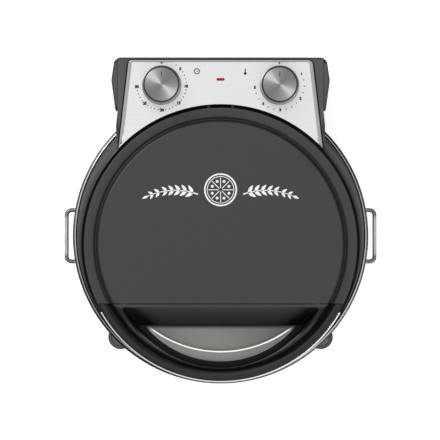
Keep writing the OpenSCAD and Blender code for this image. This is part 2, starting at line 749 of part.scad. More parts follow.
module window_gasket() color([0.07, 0.07, 0.07]) at_bowl()
    translate([0, 0, glass_top]) linear_extrude(bezel_floor_z - glass_top + 0.6) difference() {
        half_moon_2d(recess_floor_r - 0.1, recess_front - 0.1, recess_floor_line + 0.1);
        half_moon_2d(glass_view_r, glass_view_front, recess_floor_line + 1);
    }

module window_glass() color([0.55, 0.6, 0.56, 0.5]) at_bowl()
    translate([0, 0, glass_z]) linear_extrude(glass_t)
        half_moon_2d(recess_floor_r - 0.6, recess_front - 0.6, recess_floor_line + 0.6);

module window_retainer() color([0.6, 0.6, 0.6]) intersection() {
    at_bowl() translate([0, 0, glass_z - retainer_t]) linear_extrude(retainer_t) difference() {
        half_moon_2d(recess_floor_r + 6, recess_front + 1, recess_floor_line - 6);
        half_moon_2d(glass_view_r, glass_view_front, recess_floor_line + 1);
    }
    at_lid() cylinder(r = back_wall_r - 0.4, h = 300, $fn = arc_fn);
}

module upper_reflector() color([0.72, 0.72, 0.72]) difference() {
    union() {
        at_bowl() translate([0, 0, reflector_z]) cylinder(r = chamber_r + 4.5, h = sheet_t);
        at_lid() translate([0, 0, reflector_z]) cylinder(r = back_wall_r - 0.7, h = sheet_t);
        at_bowl() intersection() {
            translate([0, 0, reflector_z])
                cylinder(r1 = dish_low_r + sheet_t, r2 = dish_top_r + sheet_t,
                    h = reflector_top - reflector_z, $fn = arc_fn);
            behind(dish_front + sheet_t, 0, 300);
        }
        at_bowl() rotate_extrude($fn = arc_fn)
            translate([dish_low_r + roll_r, reflector_z + sheet_t]) circle(r = roll_r, $fn = 32);
    }
    at_bowl() translate([0, 0, reflector_z - cut])
        cylinder(r = dish_low_r, h = sheet_t + cut, $fn = arc_fn);
    at_bowl() intersection() {
        translate([0, 0, reflector_z - cut]) union() {
            cylinder(r = dish_low_r, h = cut + 0.01, $fn = arc_fn);
            translate([0, 0, cut]) cylinder(r1 = dish_low_r, r2 = dish_top_r,
                h = reflector_top - reflector_z - sheet_t, $fn = arc_fn);
        }
        behind(dish_front, 0, 300);
    }
    at_bowl() for (x = [-terminal_x, terminal_x])
        translate([x, 0, upper_element_z]) rod_y(element_tube_r + 1, pan_r - 31, pan_r + 34);
}

module upper_insulation() color([0.85, 0.83, 0.78]) at_bowl() intersection() {
    translate([0, 0, reflector_top]) cylinder(r = dish_top_r - 4, h = ring_z - reflector_top);
    behind(dish_front - 4, 0, 300);
}

module upper_element() color([0.32, 0.3, 0.29]) at_bowl() translate([0, 0, upper_element_z]) {
    // The front corners join the loop to the straight front run inside the loop's circle
    y = front_bend - upper_loop_front;
    x = sqrt(pow(upper_loop_r - front_bend, 2) - y * y);
    corner_a = atan2(y, x);
    translate([0, -upper_loop_front, 0]) rod_x(element_tube_r - lap_slim, -x - lap, x + lap);
    both_sides() {
        tube_end(upper_loop_r, box_front(0) + 7);
        tube_loop(upper_loop_r, corner_a, terminal_angle(upper_loop_r));
        translate([x, y, 0]) tube_arc(element_tube_r, front_bend, -90, corner_a);
    }
}

module upper_element_clips() color([0.6, 0.6, 0.6]) at_bowl() for (a = [0, 55, 125, 180])
    rotate([0, 0, a]) translate([upper_loop_r, 0, 0]) {
        z0 = upper_element_z + element_tube_r;
        translate([-5, -4, z0]) cube([10, 8, reflector_top - sheet_t - z0]);
    }

// ---- control box ----

module control_panel() color([0.86, 0.86, 0.86]) at_bowl() difference() {
    union() {
        translate([0, 0, panel_z]) linear_extrude(panel_t - 0.6) panel_2d();
        translate([0, 0, panel_z]) linear_extrude(panel_t) panel_2d(0.9);
    }
    for (x = [-knob_x, knob_x])
        translate([x, knob_y, 0]) cylinder(r = shaft_r + 1, h = 300);
    translate([0, lens_y, 0]) linear_extrude(300) pill_2d(lens_len + 0.2, lens_w + 0.2);
}
// A slot shape with round ends
module pill_2d(l, w) {
    square([l - w, w], center = true);
    for (x = [-1, 1]) translate([x * (l - w) / 2, 0]) circle(d = w, $fn = 32);
}

module control_box_floor() color([0.18, 0.18, 0.18]) at_bowl() difference() {
    translate([0, 0, lid_z]) linear_extrude(2) intersection() {
        panel_2d(-1.6);
        translate([-200, 0]) square([400, box_step_y - wall - 0.2]);
    }
    at_floor_screws() cylinder(r = 1.5, h = 12);
}
// Children at each of the floor's four screws, at the lid's underside
module at_floor_screws() both_sides() for (y = [panel_tip_y + 40.9, hinge_y - 1.5])
    translate([panel_half(y) - 0.8, y, lid_z - cut]) children();
module floor_screws() color([0.6, 0.6, 0.6]) at_bowl() at_floor_screws() {
    translate([0, 0, cut - 1.4]) cylinder(r = 3, h = 1.4);
    cylinder(r = 1.5, h = 11);
}

// Body of a timer or thermostat, centred on its shaft
module module_body() at_bowl() translate([knob_x, knob_y, 0]) difference() {
    union() {
        translate([-module_w / 2, module_front - knob_y, module_z])
            cube([module_w, module_rear - module_front, panel_z - module_z - 3]);
        translate([0, 0, module_z]) cylinder(r = 10, h = panel_z - module_z);
    }
    translate([0, 0, module_z + 2]) cylinder(r = shaft_r + shaft_gap, h = 60);
}
module thermostat_module() color([0.75, 0.72, 0.65]) module_body();
module timer_module() color([0.8, 0.8, 0.78]) mirror([1, 0, 0]) module_body();

module terminal_block() color([0.9, 0.9, 0.86]) at_bowl() difference() {
    translate([-block_w / 2, block_y, lid_z + 2]) cube([block_w, block_d, 12]);
    for (x = [-15:10:15])
        translate([x, block_y + block_d / 2, lid_z + 8]) cylinder(r = 2.5, h = 20);
}

module indicator_lens() color([0.75, 0.1, 0.14]) at_bowl() translate([0, lens_y, 0]) {
    translate([0, 0, panel_z - 2]) linear_extrude(panel_t + 2.5) pill_2d(lens_len, lens_w);
    translate([0, 0, panel_z - 2]) linear_extrude(2) pill_2d(lens_len + 3, lens_w + 3);
}
module indicator_lamp() color([0.9, 0.7, 0.6]) at_bowl()
    translate([0, lens_y, module_z + 2]) cylinder(r = 3, h = panel_z - 4 - module_z);

module hinge_bushes() color([0.75, 0.6, 0.3]) at_bowl() both_sides()
    translate([0, hinge_y, hinge_z]) difference() {
        rod_x(pin_r + bush_wall + pin_gap, box_half - bush_len, box_half);
        rod_x(pin_r + pin_gap, box_half - bush_len - cut, box_half + cut);
    }

// ---- knobs ----

// A knob's body about its own axis
module knob() difference() {
    rotate_extrude() polygon([
        [0, knob_z], [knob_skirt_r, knob_z], [knob_skirt_r, knob_z + 1.5],
        [knob_skirt_r - 1, knob_z + 2.6], [knob_face_r + 1, knob_z + 4],
        [knob_face_r + 0.7, knob_top - 1], [knob_face_r, knob_top - 0.3],
        [knob_face_r - 0.6, knob_top - 0.3], [knob_face_r - 0.6, knob_top - cap_t],
        [0, knob_top - cap_t]]);
    translate([0, 0, knob_z - cut]) cylinder(r = shaft_r, h = knob_h - 5 + cut);
    translate([0, 0, knob_z - cut]) difference() {
        cylinder(r = knob_face_r - 2, h = knob_h - 8 + cut);
        translate([0, 0, -cut]) cylinder(r = shaft_r + 4, h = knob_h);
    }
}
module knob_cap() translate([0, 0, knob_top - cap_t])
    cylinder(r = knob_face_r - 0.6, h = cap_t);
module knob_shaft() translate([0, 0, shaft_low])
    cylinder(r = shaft_r, h = knob_z + knob_h - 5 - shaft_low);
// Moves from a knob's axis to its place, on the left for s = -1
module at_knob(s) { at_bowl() translate([s * knob_x, knob_y, 0]) children(); }

module timer_knob() color([0.7, 0.7, 0.72]) at_knob(-1) knob();
module timer_knob_cap() color([0.8, 0.8, 0.82]) at_knob(-1) knob_cap();
module timer_shaft() color([0.6, 0.6, 0.6]) at_knob(-1) knob_shaft();
module thermostat_knob() color([0.7, 0.7, 0.72]) at_knob(1) knob();
module thermostat_knob_cap() color([0.8, 0.8, 0.82]) at_knob(1) knob_cap();
module thermostat_shaft() color([0.6, 0.6, 0.6]) at_knob(1) knob_shaft();

base_bowl();
base_rim();
inner_pan();
lower_insulation();
lower_element();
lower_element_clips();
element_insulators();
baking_stone();
front_left_leg();
front_right_leg();
rear_bracket();
bracket_floor();
cord_gland();
foot_pads();
foot_screws();
left_side_handle();
right_side_handle();
side_handle_collars();
left_hinge_arm();
right_hinge_arm();
left_hinge_pin();
right_hinge_pin();
hinge_arm_screws();
lid_frame();
lid_cover();
window_bezel();
grip_handle();
grip_trim();
window_gasket();
window_glass();
window_retainer();
upper_reflector();
upper_insulation();
upper_element();
upper_element_clips();
control_panel();
control_box_floor();
floor_screws();
timer_module();
thermostat_module();
terminal_block();
indicator_lens();
indicator_lamp();
hinge_bushes();
timer_knob();
timer_knob_cap();
timer_shaft();
thermostat_knob();
thermostat_knob_cap();
thermostat_shaft();
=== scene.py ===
"""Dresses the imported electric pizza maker: finishes for its solids, and the pieces that need
finer surfaces."""

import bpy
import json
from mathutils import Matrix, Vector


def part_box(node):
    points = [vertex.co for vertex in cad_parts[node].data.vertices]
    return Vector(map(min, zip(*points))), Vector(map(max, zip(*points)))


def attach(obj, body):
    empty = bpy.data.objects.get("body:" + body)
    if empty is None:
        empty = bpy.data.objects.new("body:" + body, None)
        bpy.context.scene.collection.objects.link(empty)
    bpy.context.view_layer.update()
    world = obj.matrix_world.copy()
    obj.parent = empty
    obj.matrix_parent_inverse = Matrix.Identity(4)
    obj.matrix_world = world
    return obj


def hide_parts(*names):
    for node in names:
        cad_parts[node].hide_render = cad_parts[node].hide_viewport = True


bl_info = {
    "name": "Pizza Maker Dressing",
    "version": (1, 0, 0),
    "blender": (4, 5, 0),
    "location": "3D View > Sidebar > Pizza Maker",
    "description": "Finishes and fine pieces of an electric pizza maker around its solids",
    "category": "Object",
}

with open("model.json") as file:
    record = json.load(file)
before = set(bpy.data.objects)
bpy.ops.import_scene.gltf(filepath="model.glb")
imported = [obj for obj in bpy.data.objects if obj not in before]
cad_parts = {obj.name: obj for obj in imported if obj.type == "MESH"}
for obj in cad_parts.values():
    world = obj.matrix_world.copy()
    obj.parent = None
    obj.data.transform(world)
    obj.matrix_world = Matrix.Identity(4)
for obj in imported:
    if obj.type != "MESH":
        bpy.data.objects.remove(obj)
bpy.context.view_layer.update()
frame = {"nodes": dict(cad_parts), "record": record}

import json
import math

import bmesh
import bpy
import numpy as np
from bpy.props import FloatProperty, FloatVectorProperty, PointerProperty
from mathutils import Vector

MM = 0.001
NODES = frame["nodes"]


# ---- sizes and colours that a user would change ----


COLOUR = {"subtype": "COLOR", "size": 3, "min": 0, "max": 1}


class PizzaMakerSettings(bpy.types.PropertyGroup):
    """Sizes and colours of the dressing."""

    camera_distance: FloatProperty(
        name="Camera distance", description="From the camera to the lid", default=4.0,
        min=0.5, max=10.0, unit="LENGTH")
    camera_tilt: FloatProperty(
        name="Camera tilt", description="Angle between the line of sight and straight down",
        default=math.radians(1.0), min=0.0, max=math.radians(90), subtype="ANGLE")
    cover_colour: FloatVectorProperty(
        name="Cover paint", description="Colour of the lid's painted cover",
        default=(0.036, 0.036, 0.037), **COLOUR)
    grey_colour: FloatVectorProperty(
        name="Grey plastic", description="Colour of the grey mouldings",
        default=(0.066, 0.067, 0.067), **COLOUR)
    black_colour: FloatVectorProperty(
        name="Black plastic", description="Colour of the black mouldings",
        default=(0.012, 0.012, 0.013), **COLOUR)
    stone_colour: FloatVectorProperty(
        name="Stone", description="Colour of the baking stone",
        default=(0.62, 0.58, 0.49), **COLOUR)


# ---- places read from the frame, in millimetres ----


def span(node):
    """Lowest and highest corner of a solid, in millimetres."""
    return tuple(np.array(corner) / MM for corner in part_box(node))


# BOWL and LID are the middles of the bowl and of the lid's circle, LID_SHIFT apart. The cover has
# its raised top at TOP_Z, out to PLATEAU_R, and its flat ring at RING_Z, from STEP_R. Its straight
# front edge is CHORD from LID and LINE from BOWL. The window's recess falls from RECESS_LINE and
# RECESS_R to the opening at FLOOR_LINE and FLOOR_R; its glass shows out to GLASS_R.
BOWL_LOW, BOWL_HIGH = span("base_bowl")
BOWL = (BOWL_LOW + BOWL_HIGH)[:2] / 2
BOWL_R = (BOWL_HIGH - BOWL_LOW)[0] / 2
COVER_LOW, COVER_HIGH = span("lid_cover")
COVER_R = (COVER_HIGH - COVER_LOW)[0] / 2
LID = np.array([0.0, COVER_HIGH[1] - COVER_R])
LID_SHIFT = BOWL[1] - LID[1]
TOP_Z = COVER_HIGH[2]
RING_Z = TOP_Z - 8.0
PLATEAU_R = COVER_R - 17.1
STEP_R = PLATEAU_R + 5.9
CHORD = LID[1] - COVER_LOW[1]
LINE = CHORD + LID_SHIFT
RECESS_R = COVER_R - 30.8
RECESS_FRONT = COVER_R + LID_SHIFT - 15.7
RECESS_LINE = LINE + 4.1
FLOOR_R = RECESS_R - 9.5
FLOOR_LINE = LINE + 26.1
FLOOR_Z = TOP_Z - 22.0
GLASS_Z = span("window_glass")[0][2]
GLASS_R = RECESS_R - 16.0
GLASS_FRONT = RECESS_FRONT - 7.7
PANEL_LOW, PANEL_HIGH = span("control_panel")
KNOB_LOW, KNOB_HIGH = span("timer_knob")
TIMER = (KNOB_LOW + KNOB_HIGH)[:2] / 2
THERMOSTAT = TIMER * (-1, 1)
SKIRT_R = (KNOB_HIGH - KNOB_LOW)[0] / 2
FACE_R = SKIRT_R - 3.0


# ---- surfaces ----


def skin(grid, ends="fan"):
    """Points and faces of a grid whose rows are closed rings: a quad between each four
    neighbours. The first and last rows are joined to each other ("loop"), are points already
    ("point"), or are closed by one flat face ("flat") or by a fan about their mean ("fan")."""
    rows, columns = grid.shape[:2]
    points, last = grid.reshape(-1, 3), (rows - 1) * columns
    i, j = np.mgrid[:rows if ends == "loop" else rows - 1, :columns].reshape(2, -1)
    k, m = (i + 1) % rows, (j + 1) % columns
    faces = np.stack([i * columns + j, i * columns + m, k * columns + m, k * columns + j],
                     1).tolist()
    if ends == "flat":
        faces += [list(range(columns))[::-1], list(range(last, last + columns))]
    if ends == "fan":
        j = np.arange(columns)
        m = (j + 1) % columns
        for hub, edge in ((len(points), (m, j)), (len(points) + 1, (last + j, last + m))):
            faces += np.stack([np.full_like(j, hub), *edge], 1).tolist()
        points = np.concatenate([points, [grid[0].mean(0), grid[-1].mean(0)]])
    return points, faces


def joined(surfaces):
    """Several surfaces as one."""
    points, faces, start = [], [], 0
    for p, f in surfaces:
        points.append(p)
        faces += [[i + start for i in face] for face in f]
        start += len(p)
    return np.concatenate(points), faces


def rounded(corners, radius, steps=4):
    """A line through corners with each inner corner turned by a quadratic curve: the curve
    starts and ends at radius (or half the shorter side) from the corner."""
    p = np.asarray(corners, float)
    a, b, c = p[:-2], p[1:-1], p[2:]
    to_a, to_c = a - b, c - b
    la, lc = (np.linalg.norm(v, axis=1, keepdims=True) for v in (to_a, to_c))
    r = np.minimum(np.reshape(radius, (-1, 1)), np.minimum(la, lc) * 0.48)
    start, end = b + to_a / la * r, b + to_c / lc * r
    t = np.linspace(0, 1, steps + 1)[None, :, None]
    curve = ((1 - t) ** 2 * start[:, None] + 2 * t * (1 - t) * b[:, None] + t ** 2 * end[:, None])
    return np.concatenate([p[:1], curve.reshape(-1, p.shape[1]), p[-1:]])


def heading(angle):
    """Unit vectors in the level plane at angles from +X: their cosine and sine."""
    return np.stack([np.cos(angle), np.sin(angle)], -1)


def circle(count):
    """Evenly spaced points of the unit circle, from +X."""
    return heading(np.linspace(0, 2 * math.pi, count, endpoint=False))


def lathe(profile, centre, segments=128):
    """Radius and height of a profile, turned about a vertical line through centre."""
    profile = np.asarray(profile, float)
    level = centre + profile[:, :1, None] * circle(segments)
    return np.dstack([level, np.broadcast_to(profile[:, 1:], level.shape[:2])])


def moon(r, front, line, corner):
    """Outline, in its place in the lid, of the part of a circle in front of a straight line,
    with rounded corners. About the bowl's centre, the circle has radius r and reaches
    y = -front, and the line is y = -line. The points run along the line, round the right
    corner, along the circle and round the left corner."""
    middle = r - front
    y = -line - corner
    x = math.sqrt((r - corner) ** 2 - (y - middle) ** 2)
    touch = math.atan2(y - middle, x)
    run = np.linspace(-x, x, 48)
    right = (x, y) + corner * heading(np.linspace(math.pi / 2, touch, 9)[1:-1])
    arc = (0, middle) + r * heading(np.linspace(touch, -math.pi - touch, 96))
    return np.concatenate([np.stack([run, np.full_like(run, -line)], 1), right, arc,
                           right[::-1] * (-1, 1)]) + BOWL


def stacked(outlines, heights):
    """Outlines of equal length, each at its height, as the rows of a grid."""
    return np.stack([np.column_stack([o, np.full(len(o), z)]) for o, z in zip(outlines, heights)])


def tube(path, radius, around):
    """A round section of radius carried along a path that lies in a level plane; around holds
    the section's points on the unit circle."""
    ahead = np.gradient(path, axis=0)
    ahead /= np.linalg.norm(ahead, axis=1, keepdims=True)
    side = np.stack([ahead[:, 1], -ahead[:, 0], np.zeros(len(path))], 1)
    out, up = around.T[:, None, :, None]
    return path[:, None] + radius * (side[:, None] * out + np.array([0, 0, 1.0]) * up)


def pill(length, width, count=10):
    """Outline of a slot with round ends, along X."""
    end = width / 2 * heading(np.linspace(-math.pi / 2, math.pi / 2, count))
    end += ((length - width) / 2, 0)
    return np.concatenate([end, -end])


def flat_plate(outline, z):
    """A plate of an outline, which may be hollow-sided, between two heights."""
    return skin(stacked([outline, outline], z), "flat")


def flat_ring(centre, outer, inner, z, count):
    """A flat ring between two radii and two heights."""
    low, high = z
    return skin(lathe([(outer, low), (outer, high), (inner, high), (inner, low)], centre, count),
                "loop")


def smoothstep(x, low, high):
    """0 below low, 1 above high, and a soft S between them: 3 t^2 - 2 t^3."""
    t = np.clip((x - low) / (high - low), 0, 1)
    return t * t * (3 - 2 * t)


def piece(name, surface, body, slot, replaced=(), smooth=40, finish=None, tone=None):
    """Puts points (millimetres) and faces into a closed, outward-facing mesh that rides on a
    body. finish is a key of FINISH, and the slot's own when it is left out; tone is a value for
    each point, which the finish may read."""
    points, faces = surface
    mesh = bpy.data.meshes.new(name)
    mesh.from_pydata((points * MM).tolist(), [], faces)
    if tone is not None:
        mesh.attributes.new("tone", "FLOAT", "POINT").data.foreach_set(
            "value", np.ascontiguousarray(tone, np.float32).ravel())
    mesh.validate()
    tidy = bmesh.new()
    tidy.from_mesh(mesh)
    bmesh.ops.remove_doubles(tidy, verts=tidy.verts, dist=1e-6)
    bmesh.ops.dissolve_degenerate(tidy, edges=tidy.edges, dist=1e-7)
    bmesh.ops.recalc_face_normals(tidy, faces=tidy.faces)
    tidy.to_mesh(mesh)
    tidy.free()
    mesh.shade_smooth()
    mesh.set_sharp_from_angle(angle=math.radians(smooth))
    mesh.materials.append(FINISH[finish or slot])
    thing = bpy.data.objects.new(name, mesh)
    bpy.context.scene.collection.objects.link(thing)
    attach(thing, body)
    if replaced:
        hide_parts(*replaced)


# ---- materials ----


class Nodes:
    """A node tree, with short ways to add, fill and join its nodes."""

    def __init__(self, tree):
        self.tree = tree

    def fill(self, socket, value):
        """Joins another node's output to a socket, or sets the socket's own value."""
        if isinstance(value, bpy.types.NodeSocket):
            self.tree.links.new(value, socket)
        else:
            socket.default_value = (*value, 1.0) if socket.type == "RGBA" else value

    def add(self, kind, inputs=(), **values):
        """Makes a node, sets its values and joins or fills its inputs."""
        node = self.tree.nodes.new(kind)
        for name, value in values.items():
            setattr(node, name, value)
        for key, value in dict(inputs).items():
            self.fill(node.inputs[key], value)
        return node

    def math(self, operation, first, second=0.0):
        """One arithmetic step on values."""
        return self.add("ShaderNodeMath", {0: first, 1: second}, operation=operation).outputs[0]


class Finish(Nodes):
    """A material's nodes around a Principled shader whose own sockets hold the constants."""

    def __init__(self, name, **shader):
        self.material = bpy.data.materials.new(name)
        self.material.use_nodes = True
        super().__init__(self.material.node_tree)
        self.shader = self.tree.nodes["Principled BSDF"]
        for label, value in shader.items():
            self.fill(self.shader.inputs[label.replace("_", " ")], value)
        self.object_place = self.add("ShaderNodeTexCoord").outputs["Object"]

    def link(self, value, label):
        """Joins a value to one of the shader's inputs."""
        self.fill(self.shader.inputs[label], value)

    def place(self, scale=(1, 1, 1), centre=(0, 0, 0)):
        """Object coordinates about a centre, scaled."""
        moved = self.add("ShaderNodeMapping", {
            "Vector": self.object_place, "Location": tuple(-c for c in centre)})
        return self.add("ShaderNodeMapping", {
            "Vector": moved.outputs[0], "Scale": scale}).outputs[0]

    def noise(self, scale, detail=3.0, roughness=0.6, place=None):
        """A noise pattern on the object's own coordinates or another place; scale is in waves
        a metre."""
        return self.add("ShaderNodeTexNoise", {
            "Vector": place or self.object_place, "Scale": scale, "Detail": detail,
            "Roughness": roughness}).outputs["Fac"]

    def between(self, value, low, high, from_low=0.3, from_high=0.7):
        """Stretches a value's range to low..high."""
        return self.add("ShaderNodeMapRange", {
            "Value": value, "From Min": from_low, "From Max": from_high, "To Min": low,
            "To Max": high}).outputs["Result"]

    def rise(self, value, low, high):
        """A share that goes from 0 where the value is low to 1 where it is high."""
        return self.between(value, 0.0, 1.0, low, high)

    def blend(self, share, first, second):
        """A colour between two colours."""
        factor, first_colour, second_colour, result = 0, 6, 7, 2
        return self.add("ShaderNodeMix", {
            factor: share, first_colour: first, second_colour: second},
            data_type="RGBA").outputs[result]

    def vector(self, operation, *inputs):
        """One step on vectors."""
        return self.add("ShaderNodeVectorMath", enumerate(inputs), operation=operation).outputs

    def radius(self, centre):
        """Level distance from a centre, in metres of object space."""
        level = self.vector("MULTIPLY", self.place(centre=(*centre, 0)), (1, 1, 0))[0]
        return self.vector("LENGTH", level)["Value"]

    def inset(self, lines):
        """Least distance inside straight edges, mirrored about x = 0; each edge is an outward
        direction and its distance from the origin, in millimetres."""
        x, y, _ = self.add("ShaderNodeSeparateXYZ", {"Vector": self.object_place}).outputs
        wide = self.math("ABSOLUTE", x)
        least = None
        for across, along, reach in lines:
            out = self.math("ADD", self.math("MULTIPLY", wide, across),
                            self.math("MULTIPLY", y, along))
            inside = self.math("SUBTRACT", reach * MM, out)
            least = inside if least is None else self.math("MINIMUM", least, inside)
        return least

    def grain(self, direction):
        """Draws the gloss out along a direction, given in the object's own axes."""
        turned = self.add("ShaderNodeVectorTransform", {"Vector": direction},
                          vector_type="VECTOR", convert_from="OBJECT", convert_to="WORLD")
        self.link(self.vector("NORMALIZE", turned.outputs[0])[0], "Tangent")

    def bump(self, height, depth, strength=1.0):
        """Relief of a depth in metres."""
        self.link(self.add("ShaderNodeBump", {
            "Height": height, "Distance": depth, "Strength": strength}).outputs[0], "Normal")

    def mottle(self, share, colour, dark, light):
        """Lets the base colour wander between two shades of a colour."""
        self.link(self.blend(share, shade(colour, dark), shade(colour, light)), "Base Color")

    def gloss(self, share, low, high):
        """Lets the roughness wander between two values."""
        self.link(self.between(share, low, high), "Roughness")

    def speckle(self, colour, dark, light):
        """Fine specks between two shades of a colour."""
        specks = self.rise(self.noise(2600.0, 1.0, 0.8), 0.35, 0.68)
        return self.blend(specks, shade(colour, dark), shade(colour, light))

    def toned(self, pale, plain, dark):
        """Base colour by the points' tone: a painted highlight at -1, plain at 0 and painted shade
        at 1.
        """
        tone = self.add("ShaderNodeAttribute", attribute_name="tone").outputs["Fac"]
        lit = self.blend(self.between(tone, 1.0, 0.0, -1.0, 0.0), plain, pale)
        self.link(self.blend(self.rise(tone, 0.0, 1.0), lit, dark), "Base Color")
        return tone


def shade(colour, factor):
    """A colour made darker or lighter by a factor."""
    return tuple(min(1.0, c * factor) for c in colour)


def moulded(name, colour, roughness, grain=0.9 * MM, depth=0.03 * MM, specular=0.4):
    """Moulded plastic: spark-eroded grain, faint cloudiness and uneven gloss."""
    f = Finish(name, Roughness=roughness, Specular_IOR_Level=specular)
    cloud = f.noise(18.0, 4.0)
    f.mottle(cloud, colour, 0.88, 1.12)
    f.gloss(cloud, roughness - 0.07, roughness + 0.07)
    f.bump(f.noise(1 / grain, 2.0), depth)
    return f


DOME_FOOT, DOME_EDGE, EAR_START = 169.5 * MM, 176.5 * MM, 184.0 * MM
EAR_EDGES = ((0.991, -0.1327, 109.2), (0.9898, 0.1421, 156.26), (0.7443, 0.6679, 225.8),
             (0.0, 1.0, 199.1))


def framed(name, colour):
    """The lid frame's moulded grey. By the distance from the lid's centre it goes from painted
    shade, at the dome's foot in the channel round the cover, to a painted highlight at the dome's
    edge, and on to the plain grey of the ears, with painted shade towards their straight edges."""
    f = Finish(name, Roughness=0.4, Specular_IOR_Level=0.3)
    out, cloud = f.radius(LID * MM), f.noise(18.0, 4.0)
    grey = f.blend(cloud, shade(colour, 0.88), shade(colour, 1.12))
    # Painted shade at the dome's foot, a painted highlight at its edge.
    dome = f.blend(f.rise(out, DOME_FOOT, DOME_EDGE), shade(colour, 0.3), shade(colour, 1.25))
    # Painted shade along the ears' straight edges.
    painted_edge_shade = f.between(f.inset(EAR_EDGES), 1.0, 0.0, 0.5 * MM, 2.8 * MM)
    ear = f.blend(painted_edge_shade, grey, shade(colour, 0.4))
    f.link(f.blend(f.rise(out, DOME_EDGE, EAR_START), dome, ear), "Base Color")
    f.gloss(cloud, 0.33, 0.47)
    f.bump(f.noise(1 / (0.9 * MM), 2.0), 0.03 * MM)
    return f


def painted(name, colour, roughness, specular, peel, groove=None):
    """Stoved paint: fine metal-like speckle over a faint orange peel, and painted shade in a
    pressed groove at a radius about the lid's centre, if there is one."""
    f = Finish(name, Roughness=roughness, Specular_IOR_Level=specular)
    paint = f.speckle(colour, 0.82, 1.25)
    # A pressed groove gets painted shade.
    if groove:
        off = f.math("ABSOLUTE", f.math("SUBTRACT", f.radius(LID * MM), groove))
        paint = f.blend(f.rise(off, 0.6 * MM, 5.4 * MM), shade(colour, 0.42), paint)
    f.link(paint, "Base Color")
    waves = f.noise(1 / peel, 2.0)
    f.gloss(waves, roughness - 0.04, roughness + 0.05)
    f.bump(waves, 0.02 * MM)
    return f


def shaded(name, colour, dark):
    """Satin black moulding with painted shade, dark and matt, where its points' tone rises to 1,
    and a painted highlight, pale, where it falls to -1."""
    f = Finish(name, Roughness=0.42, Specular_IOR_Level=0.15)
    tone = f.toned(shade(colour, 2.7), f.speckle(colour, 0.84, 1.2), dark)
    f.link(f.between(tone, 0.42, 0.75, 0.0, 1.0), "Roughness")
    f.bump(f.noise(1 / (2.6 * MM), 2.0), 0.02 * MM)
    return f


def brushed(name, colour, scale, roughness=0.3, anisotropy=0.6, depth=0.01 * MM):
    """Brushed metal: noise drawn out along the grain; scale is waves a metre on each axis, and
    the gloss is drawn out across the grain, along Y."""
    f = Finish(name, Metallic=1.0, Roughness=roughness, Anisotropic=anisotropy)
    lines = f.noise(1.0, 5.0, 0.7, f.place(scale))
    f.mottle(lines, colour, 0.9, 1.1)
    f.gloss(lines, roughness - 0.08, roughness + 0.1)
    f.bump(lines, depth)
    f.grain((0, 1, 0))
    return f


def plated(name, colour, roughness):
    """Bright plating: near-mirror with faint haze and polishing swirls."""
    f = Finish(name, Metallic=1.0, Roughness=roughness)
    haze = f.noise(55.0, 4.0)
    f.mottle(haze, colour, 0.95, 1.03)
    f.gloss(haze, roughness - 0.03, roughness + 0.06)
    f.bump(f.noise(260.0, 2.0), 0.004 * MM)
    return f


def wire(name, bar, dark, white):
    """Plated wire: satin along the bar, with a painted dark reflection at the sides of its bends
    where its points' tone rises to 1, and a painted highlight on the arms where it falls to -1."""
    f = Finish(name, Metallic=0.55, Roughness=0.3)
    haze = f.noise(70.0, 4.0)
    f.toned(white, f.blend(haze, shade(bar, 0.93), shade(bar, 1.07)), dark)
    f.gloss(haze, 0.25, 0.36)
    return f


def lit_bead(name):
    """Polished bead that stays bright under the glass: a plated ring with a faint painted glow, a
    light of its own that stands in for its highlight."""
    white = (1, 1, 1)
    f = Finish(name, Metallic=1.0, Roughness=0.25, Emission_Color=white, Emission_Strength=1.1)
    f.mottle(f.noise(40.0), white, 0.88, 0.97)
    return f


def rolled(name, colour, roughness=0.32, depth=0.01 * MM):
    """Bright rolled sheet: fine lines one way over soft clouds."""
    f = Finish(name, Metallic=1.0, Roughness=roughness)
    cloud = f.noise(26.0, 5.0)
    f.mottle(cloud, colour, 0.86, 1.08)
    f.gloss(cloud, roughness - 0.08, roughness + 0.12)
    f.bump(f.noise(1.0, place=f.place((900, 60, 900))), depth)
    return f


def fired_stone(name, colour):
    """Cordierite: sandy grain, small dark and light flecks and shallow pits."""
    f = Finish(name, Roughness=0.9, Specular_IOR_Level=0.25)
    grain = f.noise(900.0, 3.0, 0.8)
    fleck = f.add("ShaderNodeTexVoronoi", {"Vector": f.object_place, "Scale": 420.0}
                  ).outputs["Distance"]
    base = f.blend(f.noise(14.0, 6.0, 0.65), shade(colour, 0.86), shade(colour, 1.1))
    sandy = f.blend(f.rise(grain, 0.35, 0.7), shade(colour, 0.7), base)
    f.link(f.blend(f.rise(fleck, 0.08, 0.16), shade(colour, 0.5), sandy), "Base Color")
    f.bump(f.math("ADD", grain, f.between(fleck, 0.0, 1.0, 0.0, 0.2)), 0.12 * MM, 0.8)
    return f


def wool(name, colour):
    """Mineral wool: tangled fibres, matt."""
    f = Finish(name, Roughness=1.0, Specular_IOR_Level=0.1)
    fibres = f.noise(1.0, 6.0, 0.8, f.place((300, 1200, 700)))
    f.mottle(fibres, colour, 0.7, 1.1)
    f.bump(fibres, 0.5 * MM)
    return f


def glazing(name, band=None):
    """Clear toughened glass with a slight green tint and a faint film of grease, and a painted
    shadow: a dark band that fades in towards its straight edge at y = band."""
    f = Finish(name, Roughness=0.03, Alpha=0.22, IOR=1.5)
    film = f.noise(30.0, 4.0)
    colour = f.blend(film, (0.28, 0.31, 0.28), (0.36, 0.39, 0.36))
    f.gloss(film, 0.02, 0.08)
    if band:
        y = f.add("ShaderNodeSeparateXYZ", {"Vector": f.object_place}).outputs["Y"]
        # A painted shadow along the straight edge.
        share = f.rise(y, band - 6.5 * MM, band - 1.5 * MM)
        colour = f.blend(share, colour, (0.012, 0.012, 0.01))
        f.link(f.between(share, 0.22, 0.9, 0.0, 1.0), "Alpha")
    f.link(colour, "Base Color")
    return f


